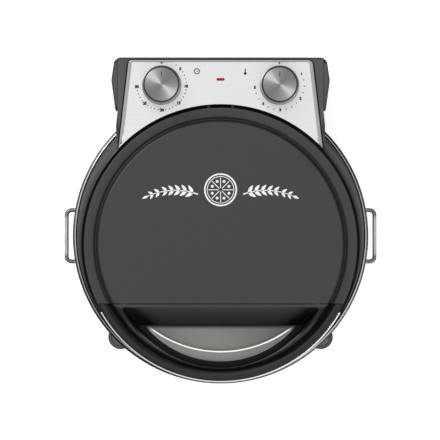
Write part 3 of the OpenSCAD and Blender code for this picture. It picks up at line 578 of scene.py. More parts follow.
def spun(name, colour, centre):
    """Metal face turned on a lathe: fine rings about a centre, and the gloss drawn out along
    the radius of each point."""
    f = Finish(name, Metallic=1.0, Roughness=0.5, Anisotropic=0.95)
    place = f.place(centre=centre)
    turns = f.math("MULTIPLY", f.vector("LENGTH", place)["Value"], 5200.0)
    rings = f.add("ShaderNodeTexNoise", {"W": turns, "Detail": 2.0},
                  noise_dimensions="1D").outputs["Fac"]
    f.mottle(rings, colour, 0.86, 1.1)
    f.bump(rings, 0.004 * MM)
    f.grain(f.vector("MULTIPLY", place, (1, 1, 0))[0])
    return f


def ribbed_lens(name, low, high):
    """Moulded lens with fine ribs in two colours, and a little light carried inside."""
    f = Finish(name, Roughness=0.3, Specular_IOR_Level=0.2, Transmission_Weight=0.1)
    ribs = f.add("ShaderNodeTexWave", {"Vector": f.object_place, "Scale": 900.0,
                                       "Distortion": 0.0}).outputs["Fac"]
    f.link(f.blend(ribs, low, high), "Base Color")
    f.bump(ribs, 0.02 * MM)
    return f


def ink(name, colour):
    """Screen-printed ink with slightly uneven cover."""
    f = Finish(name, Roughness=0.45, Specular_IOR_Level=0.3)
    f.mottle(f.noise(1500.0, 2.0), colour, 0.8, 1.25)
    return f


FINISH = {}


def make_finishes():
    """Every finish, by the record's slot or by its own name: the kind of finish, its colour and
    what else the kind asks for."""
    s = bpy.context.scene.pizza_maker
    grey = tuple(s.grey_colour)
    table = {
        "black_enamel": (painted, (0.01, 0.01, 0.011), 0.16, 0.5, 3 * MM),
        # The last value is the radius of the cover groove's painted shade.
        "cover_paint": (painted, s.cover_colour, 0.45, 0.3, 2.6 * MM, (PLATEAU_R + 2.6) * MM),
        "polished_rim": (plated, (0.9, 0.9, 0.9), 0.18),
        # A darker copy of the panel's steel: painted shade round the panel's edge.
        "panel_edge": (plated, (0.47, 0.47, 0.47), 0.12),
        "chrome_wire": (plated, (0.93, 0.93, 0.94), 0.2),
        "knob_chrome": (plated, (0.28, 0.28, 0.285), 0.28),
        # A painted glow that stands in for the bead's highlight.
        "bright_bead": (lit_bead,),
        # Painted reflections: dark at the bends' sides, white on the arms.
        "wire_chrome": (wire, (0.56, 0.56, 0.56), (0.012, 0.012, 0.012), (1, 1, 1)),
        "pan_steel": (rolled, (0.38, 0.375, 0.38), 0.5, 0.003 * MM),
        "aluminised_steel": (rolled, (0.62, 0.62, 0.63)),
        "element_steel": (rolled, (0.16, 0.14, 0.13), 0.45),
        "bush_brass": (rolled, (0.72, 0.5, 0.2)),
        "knob_face": (rolled, (0.82, 0.82, 0.83), 0.28),
        "panel_steel": (brushed, (0.93, 0.93, 0.93), (22, 760, 900), 0.34, 0.7, 0.012 * MM),
        "screw_steel": (brushed, (0.5, 0.5, 0.52), (400, 400, 90)),
        "shaft_steel": (brushed, (0.58, 0.58, 0.6), (90, 900, 900)),
        "mineral_wool": (wool, (0.72, 0.66, 0.5)),
        "baking_stone": (fired_stone, s.stone_colour),
        "white_ceramic": (moulded, (0.78, 0.76, 0.68), 0.35, 1.5 * MM),
        "grey_plastic": (moulded, grey, 0.42),
        # A lighter copy of the grey plastic: painted light on the feet.
        "leg_plastic": (moulded, shade(grey, 1.75), 0.42),
        "black_plastic": (moulded, s.black_colour, 0.4),
        "grip_plastic": (moulded, (0.014, 0.014, 0.0145), 0.48, 0.9 * MM, 0.03 * MM, 0.3),
        "module_plastic": (moulded, (0.42, 0.38, 0.26), 0.3),
        "black_rubber": (moulded, (0.007, 0.007, 0.007), 0.75, 0.7 * MM, 0.05 * MM, 0.14),
        "frame_plastic": (framed, grey),
        # Painted shade and highlight by the window's tones.
        "bezel_plastic": (shaded, (0.034, 0.034, 0.035), (0.001, 0.001, 0.001)),
        # The value is the y of the glass's straight edge, where its painted shadow is darkest.
        "tinted_glass": (glazing, (BOWL[1] - FLOOR_LINE - 0.5) * MM),
        "lamp_glass": (glazing,),
        "red_lens": (ribbed_lens, (0.29, 0.002, 0.006), (0.42, 0.004, 0.014)),
        "print": (ink, (0.008, 0.008, 0.009)),
        "pointer_paint": (ink, (0.05, 0.05, 0.052)),
        "white_print": (ink, (0.72, 0.72, 0.7)),
    }
    for name, centre in (("timer_knob_face", TIMER), ("thermostat_knob_face", THERMOSTAT)):
        table[name] = (spun, (0.425, 0.425, 0.435), (*(centre * MM), 0))
    return {name: kind(name.replace("_", " "), *values).material
            for name, (kind, *values) in table.items()}


class PIZZA_OT_finishes(bpy.types.Operator):
    """Give every solid the finish of its slot in the record."""

    bl_idname = "pizza_maker.finishes"
    bl_label = "Finish the Solids"

    # The hinge arms take the frame's finish with its painted edge shade; the legs take a lighter
    # copy of the grey plastic, painted light.
    OWN = {"lid_frame": "frame_plastic", "left_hinge_arm": "frame_plastic",
           "right_hinge_arm": "frame_plastic", "inner_pan": "pan_steel",
           "upper_reflector": "pan_steel", "front_left_leg": "leg_plastic",
           "front_right_leg": "leg_plastic"}

    def execute(self, context):
        FINISH.update(make_finishes())
        for part in frame["record"]["subparts"]:
            mesh = NODES[part["node"]].data
            mesh.materials.clear()
            mesh.materials.append(FINISH[self.OWN.get(part["node"], part["material_slot"])])
        return {"FINISHED"}


# ---- knobs and dials ----


class PIZZA_OT_knobs(bpy.types.Operator):
    """Turn the plated knobs with their spun faces and pointer lines."""

    bl_idname = "pizza_maker.knobs"
    bl_label = "Turn the Knobs"

    POINTER_R = 12.3
    POINTER_SIZE = (6.8, 1.15)

    def execute(self, context):
        for name, centre in (("timer", TIMER), ("thermostat", THERMOSTAT)):
            z0, z1 = KNOB_LOW[2], span(name + "_knob_cap")[1][2]
            r, face, body = SKIRT_R, FACE_R, name + "_dial"
            skirt = rounded([
                (0, z0 + 3), (face - 2, z0 + 3), (face - 2, z0), (r, z0), (r, z0 + 1.9),
                (face + 2.1, z0 + 3.1), (face + 1.9, z1 - 1.4), (face + 1.3, z1),
                (face + 0.85, z1), (face + 0.6, z1 - 1.6), (0, z1 - 1.6)],
                [0.3, 0.3, 0.3, 0.8, 1.4, 0.9, 0.25, 0.25, 0.2])
            cap = rounded([(0, z1 - 1.7), (face - 0.7, z1 - 1.7), (face - 0.7, z1 - 0.4),
                           (face - 1.4, z1), (0, z1 - 0.25)], [0.1, 0.3, 0.3])
            gap = rounded([(face - 0.9, z1 - 1.8), (face + 0.7, z1 - 1.8),
                           (face + 0.7, z1 - 0.5), (face - 0.9, z1 - 0.5),
                           (face - 0.9, z1 - 1.6)], [0.1, 0.1, 0.1])[:-1]
            line = pill(*self.POINTER_SIZE)[:, ::-1] + centre + (0, self.POINTER_R)
            piece(name + "_knob_body", skin(lathe(skirt, centre), "point"), body, "knob_chrome",
                  (name + "_knob",), 35)
            piece(name + "_knob_face", skin(lathe(cap, centre), "point"), body, "knob_face",
                  (name + "_knob_cap",), 35, name + "_knob_face")
            # A black ring in the gap between cap and skirt: painted shade for the dark reflection
            # on the skirt's rim.
            piece(name + "_knob_shade_ring", skin(lathe(gap, centre), "loop"), body, "black_plastic")
            piece(name + "_pointer", flat_plate(line, (z1 - 0.5, z1 + 0.02)), body, "knob_face",
                  finish="pointer_paint")
        return {"FINISHED"}


def figures(word, height, centre, z):
    """Upright figures of a height, centred on a place, as flat plates between two heights. A
    figure of the built-in font is 0.7 of its size high; the offset thickens its strokes."""
    curve = bpy.data.curves.new("figures", "FONT")
    curve.body, curve.size = word, height / 0.7
    curve.align_x, curve.align_y = "CENTER", "CENTER"
    curve.extrude, curve.offset, curve.resolution_u = 0.5, 0.4, 3
    holder = bpy.data.objects.new("figures", curve)
    bpy.context.scene.collection.objects.link(holder)
    bpy.context.view_layer.update()
    mesh = bpy.data.meshes.new_from_object(holder.evaluated_get(
        bpy.context.evaluated_depsgraph_get()))
    points = np.zeros(len(mesh.vertices) * 3)
    mesh.vertices.foreach_get("co", points)
    points = points.reshape(-1, 3)
    faces = [list(p.vertices) for p in mesh.polygons]
    bpy.data.objects.remove(holder)
    bpy.data.curves.remove(curve)
    bpy.data.meshes.remove(mesh)
    middle = (points.min(0) + points.max(0)) / 2
    points[:, :2] += np.asarray(centre) - middle[:2]
    points[:, 2] = np.where(points[:, 2] > 0, z[1], z[0])
    return points, faces


def ray(angle):
    """Level unit vector at a clockwise angle from the rear, in degrees."""
    return heading(math.radians(90 - angle))


def dash(centre, angle, radius, length, width, z):
    """A short mark that points away from centre, at a clockwise angle from the rear."""
    along = ray(angle)
    o = pill(length, width, 5)
    return flat_plate(centre + radius * along + o @ np.array([along, (-along[1], along[0])]), z)


def minute(m):
    """Clockwise angle of a minute on the timer's dial; its first number is 5."""
    return 48.8 + 8.712 * (m - 5)


class PIZZA_OT_dials(bpy.types.Operator):
    """Print the dials' numbers and marks, the clock and the thermometer on the panel."""

    bl_idname = "pizza_maker.dials"
    bl_label = "Print the Dials"

    RADIUS = 30.2
    START_R = 27.3
    HEIGHT = 3.3
    TIMER_MARKS = [minute(m) for m in range(6, 30) if m % 5] + [35.6]
    TIMER_NUMBERS = {str(m): minute(m) for m in range(5, 35, 5)}
    HEAT_MARKS = [77.6, 92.5, 107.5, 136.4, 150.5, 164.5, 192.9, 207.2, 235.9, 250.3]
    HEAT_NUMBERS = {"1": 62.7, "2": 122.4, "3": 178.5, "4": 221.6, "5": 264.6}
    CLOCK = np.array([-28.8, 182.3])
    BULB = np.array([30.1, 179.6])

    def execute(self, context):
        z = PANEL_HIGH[2] - 0.1, PANEL_HIGH[2] + 0.04
        for name, centre, numbers, marks in (
                ("timer", TIMER, self.TIMER_NUMBERS, self.TIMER_MARKS),
                ("thermostat", THERMOSTAT, self.HEAT_NUMBERS, self.HEAT_MARKS)):
            shapes = [dash(centre, a, self.RADIUS, 1.7, 1.25, z) for a in marks]
            shapes.append(dash(centre, 0, self.START_R, 3.0, 2.0, z))
            shapes += [figures(word, self.HEIGHT, centre + self.RADIUS * ray(a), z)
                       for word, a in numbers.items()]
            piece(name + "_dial_print", joined(shapes), "lid", "panel_steel", finish="print")
        shapes = [flat_ring(self.CLOCK, 3.7, 2.6, z, 40),
                  dash(self.CLOCK, 0, 0.9, 2.0, 0.9, z), dash(self.CLOCK, 120, 0.8, 1.8, 0.9, z),
                  flat_plate(self.BULB + circle(40) * 1.75, z),
                  flat_plate(self.BULB + (0, 3.2) + pill(5.4, 1.3)[:, ::-1], z)]
        piece("panel_icons", joined(shapes), "lid", "panel_steel", finish="print")
        return {"FINISHED"}


# ---- control panel ----


FRONT_POINTS = 120


def panel_outline(inset, wider=0.0, back=1.0):
    """Outline of the panel: a front edge that follows the lid's circle, slanting sides, two
    rounded corners and a rear edge. Every edge stands inset inside the full size, the rear one
    by a share of it, and the sides may stand wider apart. Each side's tip is where its line
    meets the circle."""
    lean, gap, corner = 12.1, 4.0, 6.0
    rear_half = (PANEL_HIGH[0] - PANEL_LOW[0]) / 2 + wider - lean
    rear = PANEL_HIGH[1] - inset * back
    slope = lean / (PANEL_HIGH[1] - PANEL_LOW[1])
    ring_r = COVER_R + gap + inset
    side_x = lambda y: rear_half - inset + (PANEL_HIGH[1] - y) * slope
    r = max(0.5, corner - inset)
    turn = (side_x(rear - r) - r, rear - r) + r * heading(np.linspace(0, math.pi / 2, 9))
    lower = np.linspace(PANEL_LOW[1] - 40, rear - 20, 4000)
    tip = lower[np.argmin(np.abs(np.hypot(side_x(lower), lower - LID[1]) - ring_r))]
    end = math.atan2(tip - LID[1], side_x(tip))
    front = (0, LID[1]) + ring_r * heading(np.linspace(math.pi - end, end, FRONT_POINTS))
    run = np.linspace(tip, rear - r, 16)[1:-1]
    side = np.stack([side_x(run), run], 1)
    return np.concatenate([front, side, turn, (turn * (-1, 1))[::-1], (side * (-1, 1))[::-1]])


class PIZZA_OT_panel(bpy.types.Operator):
    """Lay the brushed panel with its rolled edge and the red indicator."""

    bl_idname = "pizza_maker.panel"
    bl_label = "Lay the Panel"

    ROLL = 1.2
    # The trim laps over the frame at the sides, and is narrower at the rear by this share. Along
    # the front edge the panel's roll and the trim are narrower by theirs, and the trim is sunk.
    LAP = 3.0
    BACK = 0.65
    PANEL_FRONT, TRIM_FRONT = 0.25, 0.3
    SUNK = 0.55

    def outlines(self, insets, front_share, *sizes):
        """The panel's outline at each inset, and at a share of it along the front edge."""
        along = np.arange(len(panel_outline(0.0)))[:, None] < FRONT_POINTS - 2
        return [np.where(along, panel_outline(i * front_share, *sizes),
                         panel_outline(i, *sizes)) for i in insets]

    def execute(self, context):
        z0, z1 = PANEL_LOW[2], PANEL_HIGH[2]
        a = np.linspace(0, math.pi / 2, 6)
        insets = [0.0, *(self.ROLL * (1 - np.cos(a))), 1.6]
        heights = [z0, *(z1 - self.ROLL + self.ROLL * np.sin(a)), z1]
        outlines = self.outlines(insets, self.PANEL_FRONT)
        piece("brushed_panel", skin(stacked(outlines, heights), "flat"), "lid", "panel_steel",
              ("control_panel",), 50)
        rim = [(0.0, -1.2), (0.0, -0.4), (0.3, 0), (0.9, 0.15), (2.2, 0.25), (3.6, 0.22),
               (4.5, 0.02), (4.5, -0.4), (1.4, -1.2)]
        shadow_strip = [(-1.5, -1.4), (-1.5, -0.4), (-1.3, -0.2), (0.4, -0.2), (0.4, -1.4)]
        for name, section, slot, finish in (
                # A darker plated rim round the panel: painted shade on its edge.
                ("panel_edge", rim, "panel_steel", "panel_edge"),
                # A black strip under the rim: a painted shadow in the gap.
                ("panel_shadow_strip", shadow_strip, "black_rubber", "black_rubber")):
            insets, heights = np.transpose(section)
            grid = stacked(self.outlines(insets, self.TRIM_FRONT, self.LAP, self.BACK),
                           z1 + heights)
            grid[:, :FRONT_POINTS - 2, 2] -= self.SUNK
            piece(name, skin(grid, "loop"), "lid", slot, (), 35, finish)
        low, high = span("indicator_lens")
        middle, z = (low + high)[:2] / 2, high[2]
        rings = stacked([pill(10.6 - 2 * s, 3.8 - 2 * s) + middle for s in (0, 0, 0.25, 0.7, 1.3)],
                        z + np.array([-5.0, -0.9, -0.4, -0.1, 0.0]))
        piece("red_indicator", skin(rings), "lid", "red_lens", ("indicator_lens",), 60)
        return {"FINISHED"}


# ---- lid ----


def cover_height(r):
    """Height of the cover's skin at a distance from its centre: raised top, a slope that is
    turned softly at its head and sharply at its foot, and the flat outer ring."""
    profile = rounded([(0, TOP_Z), (PLATEAU_R - 0.6, TOP_Z), (PLATEAU_R + 2.6, RING_Z - 1.4),
                       (PLATEAU_R + 3.8, RING_Z - 1.4), (STEP_R, RING_Z), (COVER_R + 1, RING_Z)],
                      [2.2, 0.8, 0.5, 0.9], 8)
    return np.interp(r, profile[:, 0], profile[:, 1])


class PIZZA_OT_cover(bpy.types.Operator):
    """Press the lid's painted cover with its raised top and straight front edge."""

    bl_idname = "pizza_maker.cover"
    bl_label = "Press the Cover"

    SHEET = 1.5
    LIP = 0.9

    def execute(self, context):
        corner = math.asin(CHORD / COVER_R)
        a = np.sort(np.concatenate([
            np.linspace(-math.pi + corner, -corner, 120),
            np.linspace(-corner, math.pi + corner, 260)[1:-1]]))
        # The skin's rows are rings that stop at the straight front edge: over the top, round the
        # rim, down the skirt and back underneath.
        to_line = np.where(np.sin(a) < -1e-9, CHORD / np.maximum(-np.sin(a), 1e-9), 1e9)
        flat = np.append(np.linspace(0.5, PLATEAU_R - 4, 10),
                         np.linspace(PLATEAU_R - 3, STEP_R + 1.5, 40))
        edge = COVER_R - 1.0
        radii = np.concatenate([flat, [COVER_R - 5, edge, edge, edge, edge]])
        lips = np.concatenate([np.full(len(flat) + 2, self.LIP), [0.5, 0.15, 0]])
        r = np.minimum(radii[:, None], to_line - lips[:, None])
        drop = np.maximum(0, self.LIP - (to_line - r))
        top_z = cover_height(r) - 0.55 * drop ** 2 / self.LIP
        cut = to_line < COVER_R - 0.01
        turn = np.linspace(0, math.pi / 2, 5)[1:, None]
        round_r = np.minimum(edge + np.sin(turn), to_line)
        round_z = np.where(cut, top_z[-1], RING_Z - 1 + np.cos(turn))
        inside = COVER_R - self.SHEET
        skirt_r = np.minimum(np.array([[COVER_R], [inside], [inside]]), to_line)
        skirt_z = np.where(cut, top_z[-1] - self.SHEET * np.array([[0.7], [0.9], [1]]),
                           np.array([[RING_Z - 10], [RING_Z - 10], [RING_Z - self.SHEET]]))
        under_r = np.minimum(radii[::-1][4:, None], to_line)
        under_z = cover_height(under_r) - self.SHEET
        under_r = np.where(under_r > PLATEAU_R - 2, under_r - 0.7, under_r)
        grid_r = np.concatenate([r, round_r, skirt_r, under_r])
        grid_z = np.concatenate([top_z, round_z, skirt_z, under_z])
        piece("cover_skin", skin(np.dstack([LID + grid_r[..., None] * heading(a), grid_z])),
              "lid", "cover_paint", ("lid_cover",), 30)
        return {"FINISHED"}


def reach(outline, centre, angles):
    """Distance from centre to an outline that goes once round it, along each angle."""
    t = np.linspace(0, 1, 24, endpoint=False)[None, :, None]
    v = outline[:, None] + t * (np.roll(outline, -1, 0) - outline)[:, None]
    v = v.reshape(-1, 2) - centre
    a = np.arctan2(v[:, 1], v[:, 0])
    order = np.argsort(a)
    return np.interp(angles, a[order], np.hypot(*v.T)[order], period=2 * math.pi)


class PIZZA_OT_window(bpy.types.Operator):
    """Mould the front of the lid with its half-moon recess, and the gasket in it. The moulding's
    rows run from the underside up its outer wall, over the crest, down the recess and back."""

    bl_idname = "pizza_maker.window"
    bl_label = "Mould the Window"

    # Every row has one point on each ray from the heart to a point of the recess's upper edge.
    HEART = np.array([0.0, -122.0])
    CLEARANCE = 0.15
    WALL_STEPS = 20

    def execute(self, context):
        heart = BOWL + self.HEART
        line = LINE + self.CLEARANCE
        top = moon(RECESS_R, RECESS_FRONT, RECESS_LINE, 2.0)
        floor = moon(FLOOR_R, RECESS_FRONT, FLOOR_LINE, 3.0)
        v = top - heart
        a, top_r = np.arctan2(v[:, 1], v[:, 0]), np.hypot(*v.T)
        ahead = heading(a)
        outer = lambda r, d=0.0: reach(moon(r, r + LID_SHIFT, line + d, 0.4), heart, a)
        lid_r = lambda points: np.hypot(*(points - LID).T)
        level = lambda points, z: np.column_stack([points, np.broadcast_to(z, len(a))])
        at = lambda r: heart + ahead * r[:, None]
        capped = lambda r, z=TOP_Z: level(at(r), np.minimum(z, cover_height(lid_r(at(r)))))
        rows = [level(at(outer(STEP_R - 2.9)), GLASS_Z + 0.2),
                level(at(outer(STEP_R - 2.9)), RING_Z - 6),
                level(at(outer(STEP_R - 0.3)), RING_Z - 5.9)]
        for r, z in rounded([(STEP_R - 0.3, RING_Z - 5.6), (STEP_R - 1.3, RING_Z - 3.4),
                             (PLATEAU_R + 0.9, TOP_Z - 1.1), (PLATEAU_R - 1.2, TOP_Z)],
                            [0.6, 1.8], 6):
            out = np.maximum(outer(r, (STEP_R - r) * 0.12), top_r + 0.9)
            rows.append(capped(out, z))
        rows += [capped(np.maximum(np.minimum(out, top_r + 4.2), top_r + 0.9)),
                 capped(top_r + 0.9)]
        crest = rows[-1][:, 2]
        rows += [level(at(top_r + 0.3), crest - 0.12), level(at(top_r), crest - 0.5)]
        # The tones paint shade on the foot of the outer slope, the recess's sides and rear
        # corners, the rear wall more with depth and the rows at the opening, and paint a highlight
        # on the front ridge.
        behind = top[:, 1].max() - top[:, 1]
        rear_share = 1 - smoothstep(behind, 0.6, 3.0)
        side_share = 1 - rear_share
        gloom = 0.85 * side_share * (1 - smoothstep(behind, 12.0, 28.0)) - 0.2
        tones = [np.clip(1.25 * smoothstep(lid_r(p[:, :2]), PLATEAU_R - 0.8, PLATEAU_R + 2.0)
                         + gloom, -1, 1) for p in rows]
        tones[-3:] = [t * rear_share + 0.65 * side_share for t in tones[-3:]]
        to_corner = np.abs(top[:, 0]).max() - np.abs(top[:, 0])
        # Painted shade on the recess's sides and a painted highlight on its front ridge.
        ridge = smoothstep(behind, 20.0, 32.0)
        side = 0.95 * (1 - ridge) - 0.75 * ridge
        for t in np.linspace(0, 1, self.WALL_STEPS + 1)[1:]:
            # The rear wall bows out; the sides are hollow, and the front falls only at its foot.
            hollow = (1 - (1 - t) ** 1.5) * (1 - ridge) + t ** 6 * ridge
            fall = hollow * side_share + t ** 1.35 * rear_share
            # Painted shade on the rear wall, growing with depth and towards the corners.
            rear = 0.04 + 0.56 * t + 1.3 * np.exp(-(to_corner / 19.0) ** 2)
            tones.append(np.clip(rear * rear_share + side * side_share, -1, 1))
            rows.append(level(top + (floor - top) * t,
                              crest - 0.5 + (FLOOR_Z - crest + 0.5) * fall))
        rows += [level(floor, FLOOR_Z - 1.0), level(floor, GLASS_Z + 4.2),
                 level(floor + (floor - heart) * 0.004, GLASS_Z + 0.2)]
        # Painted shade on the rows at the opening.
        tones += [np.full(len(a), 0.6)] * 3
        piece("window_front", skin(np.stack(rows), "loop"), "lid", "black_plastic",
              ("window_bezel",), 38, "bezel_plastic", np.stack(tones))
        view = moon(GLASS_R, GLASS_FRONT, FLOOR_LINE + 0.9, 1.2)
        edge = moon(FLOOR_R - 0.1, RECESS_FRONT - 0.1, FLOOR_LINE + 0.1, 3.0)
        z = FLOOR_Z - 2
        rows = [level(edge, z), level(edge, z + 1.7)]
        rows += [level(view + (edge - view) * (0.5 + 0.5 * math.cos(t)),
                       z + 1.9 + 0.7 * math.sin(t)) for t in np.linspace(0, math.pi, 9)[1:-1]]
        rows += [level(view, z + 1.7), level(view, z)]
        piece("gasket_lip", skin(np.stack(rows), "loop"), "lid", "black_rubber",
              ("window_gasket",), 50)
        return {"FINISHED"}


def swept_ring(section, start, end, count, ease):
    """A section (radius, height about the lid's centre) carried from one angle to another. It
    shrinks to round ends over ease degrees: its size goes as a quarter circle."""
    ease = math.radians(ease)
    short = np.linspace(0, ease, 8)
    a = np.unique(np.concatenate([np.linspace(start, end, count), start + short, end - short]))
    middle = section.mean(0)
    near = np.clip(np.minimum(a - start, end - a) / ease, 0, 1)
    scale = np.sqrt(np.clip(1 - (1 - near) ** 2, 1e-4, 1))[:, None]
    r, z = (middle[k] + (section[:, k] - middle[k]) * scale for k in (0, 1))
    return np.dstack([LID + r[..., None] * heading(a)[:, None], z])


class PIZZA_OT_grip(bpy.types.Operator):
    """Fit the grip band round the front of the lid, with its bright trim."""

    bl_idname = "pizza_maker.grip"
    bl_label = "Fit the Grip"

    SWEEP = math.radians(60.5)
    TRIM = 2.0

    def execute(self, context):
        inner = COVER_R - 10.7
        section = rounded([(inner, RING_Z - 6), (inner + 3, RING_Z - 6), (inner + 4, RING_Z - 4),
                           (COVER_R - 3, RING_Z - 4), (COVER_R - 3, RING_Z - 13),
                           (COVER_R, RING_Z - 13), (COVER_R, RING_Z - 2), (COVER_R - 1.8, RING_Z),
                           (inner + 3.6, RING_Z), (inner, RING_Z - 2.6), (inner, RING_Z - 5.2)],
                          [0.3, 0.3, 0.3, 0.3, 0.3, 1.2, 1.2, 2.6, 1.4], 5)
        r, z = section.T
        limit = np.arcsin((CHORD + 0.8) / r)
        t = np.linspace(0, 1, 220)[:, None]
        a = (-math.pi + limit) + t * (math.pi - 2 * limit)
        grid = np.dstack([LID + r[:, None] * heading(a), np.broadcast_to(z, a.shape)])
        piece("grip_band", skin(grid, "flat"), "lid", "black_plastic", ("grip_handle",), 40,
              "grip_plastic")
        near, far, high, mid, low = (COVER_R + 0.02, COVER_R + self.TRIM, RING_Z - 2,
                                     RING_Z - 5, RING_Z - 8)
        section = rounded([(near, mid), (near, low), (far, low), (far, high), (near, high),
                           (near, mid)], [0.5, 0.95, 0.95, 0.5], 5)[:-1]
        front = -math.pi / 2
        grid = swept_ring(section, front - self.SWEEP, front + self.SWEEP, 180, 0.5)
        piece("bright_trim", skin(grid), "lid", "chrome_wire", ("grip_trim",), 50)
        return {"FINISHED"}


# ---- print on the lid ----


def leaf(root, angle, length, width, z):
    """A pointed leaf that grows from root at an angle; its half width goes as a sine."""
    t = np.linspace(0, 1, 12)
    half = width / 2 * np.sin(math.pi * t ** 0.8) ** 0.9
    shape = np.concatenate([np.stack([t * length, half], 1),
                            np.stack([t * length, -half], 1)[::-1][1:-1]])
    along = heading(angle)
    return flat_plate(shape @ np.array([along, (-along[1], along[0])]) + root, z)


def sprig(start, first, bend, length, leaves, z):
    """A stem that starts at an angle and bends evenly, with pairs of leaves that shorten
    towards its tip."""
    t = np.linspace(0, 1, 40)
    a = first + bend * t
    ahead = heading(a)
    stem = start + np.cumsum(ahead * length / 39, 0)
    side = np.stack([-ahead[:, 1], ahead[:, 0]], 1) * (0.75 - 0.4 * t)[:, None]
    shapes = [flat_plate(np.concatenate([stem + side, (stem - side)[::-1]]), z)]
    for share in np.linspace(0.12, 0.9, leaves):
        i = int(share * 39)
        shapes += [leaf(stem[i], a[i] + way, 11.5 - 5 * share, 4.2 - 1.6 * share, z)
                   for way in (0.75, -0.75)]
    return shapes + [leaf(stem[-1], a[-1], 8.0, 3.0, z)]


class PIZZA_OT_ornament(bpy.types.Operator):
    """Print two leafy sprigs and a sliced wheel on the cover."""

    bl_idname = "pizza_maker.ornament"
    bl_label = "Print the Ornament"

    BEHIND = 66.0
    SLICES = 8

    def execute(self, context):
        z = TOP_Z - 0.1, TOP_Z + 0.03
        middle = LID + (0, self.BEHIND)
        shapes = []
        for side, first in ((1, 0.35), (-1, math.pi - 0.35)):
            shapes += sprig(middle + (side * 26.0, -6.0), first, -0.75 * side, 62.0, 7, z)
        shapes += [flat_ring(middle, outer, inner, z, 72)
                   for outer, inner in ((20.0, 18.2), (16.6, 15.8))]
        for turn in np.arange(self.SLICES) * 360 / self.SLICES:
            spot = middle + 11.0 * heading(math.radians(turn + 22.5))
            shapes += [dash(middle, turn, 8.6, 13.0, 0.9, z),
                       flat_plate(spot + circle(18) * 1.7, z)]
        piece("cover_ornament", joined(shapes), "lid", "cover_paint", finish="white_print")
        return {"FINISHED"}


# ---- base ----


class PIZZA_OT_rim(bpy.types.Operator):
    """Fold the rim's polished bead: a narrow crest between two falling flanks."""

    bl_idname = "pizza_maker.rim"
    bl_label = "Fold the Rim"

    def execute(self, context):
        low, high = span("base_rim")
        z, top, r = low[2], high[2], (high - low)[0] / 2
        inner = BOWL_R - 10
        section = rounded([(inner, z), (r - 0.1, z), (r - 0.1, z + 1.4), (r - 0.9, top - 0.9),
                           (r - 1.5, top), (r - 2.3, top), (r - 2.9, top - 0.9),
                           (r - 3.9, z + 1.3), (inner, z + 1.2), (inner, z + 0.2)],
                          [0.2, 0.4, 0.6, 0.5, 0.5, 0.6, 0.4, 0.2], 4)[:-1]
        piece("rim_bead", skin(lathe(section, BOWL, 256), "loop"), "base", "polished_rim",
              ("base_rim",), 35)
        return {"FINISHED"}


class PIZZA_OT_bead(bpy.types.Operator):
    """Roll the reflector's polished bead, which shows as a bright arc in the window with a painted
    glow.
    """

    bl_idname = "pizza_maker.bead"
    bl_label = "Roll the Reflector's Bead"

    MIDDLE = (142.3, 111.5)
    RADIUS = 1.0

    def execute(self, context):
        section = self.MIDDLE + self.RADIUS * circle(20)
        # Its finish glows: a painted highlight seen through the glass.
        piece("reflector_bead", skin(lathe(section, BOWL, 200), "loop"), "lid",
              "aluminised_steel", finish="bright_bead")
        return {"FINISHED"}


class PIZZA_OT_handles(bpy.types.Operator):
    """Bend the two wire handles: each is an arm, a quarter bend, the bar, a bend and an arm."""

    bl_idname = "pizza_maker.handles"
    bl_label = "Bend the Side Handles"

    BEND = 6.0

    def execute(self, context):
        bend, around = self.BEND, circle(24)
        for side, name in ((-1, "left"), (1, "right")):
            low, high = span(name + "_side_handle")
            wire_r = (high - low)[2] / 2
            start, x = sorted((side * low[0], side * high[0]))
            start, x = start + 2, x - wire_r
            half, z = (high - low)[1] / 2 - wire_r, (high + low)[2] / 2
            arm = np.linspace(start, x - bend, 8)[:-1]
            arm = np.stack([arm, np.full_like(arm, half)], 1)
            arc = (x - bend, half - bend) + bend * heading(np.linspace(math.pi / 2, 0, 12))
            bar = np.linspace(half - bend, bend - half, 12)[1:-1]
            bar = np.stack([np.full_like(bar, x), bar], 1)
            line = np.concatenate([arm, arc, bar, arc[::-1] * (1, -1), arm[::-1] * (1, -1)])
            path = np.column_stack([line * (side, 1) + BOWL, np.full(len(line), z)])
            bar_end = half - bend - 3.0
            # Painted reflections: the bends are dark at their sides, and the arms are bright.
            on_bar = 1 - smoothstep(np.abs(line[:, 1]), bar_end - 2.0, bar_end + 1.5)
            on_arm = 1 - smoothstep(line[:, 0], x - bend - 5.5, x - bend - 3.0)
            tone = (np.outer((1 - on_bar) * (1 - on_arm), 0.55 + 0.45 * np.abs(around[:, 0]))
                    - on_arm[:, None] * 0.9)
            piece(name + "_wire", skin(tube(path, wire_r - 0.02, around)), "base", "chrome_wire",
                  (name + "_side_handle",), 50, "wire_chrome", np.append(tone, [-0.9, -0.9]))
        return {"FINISHED"}


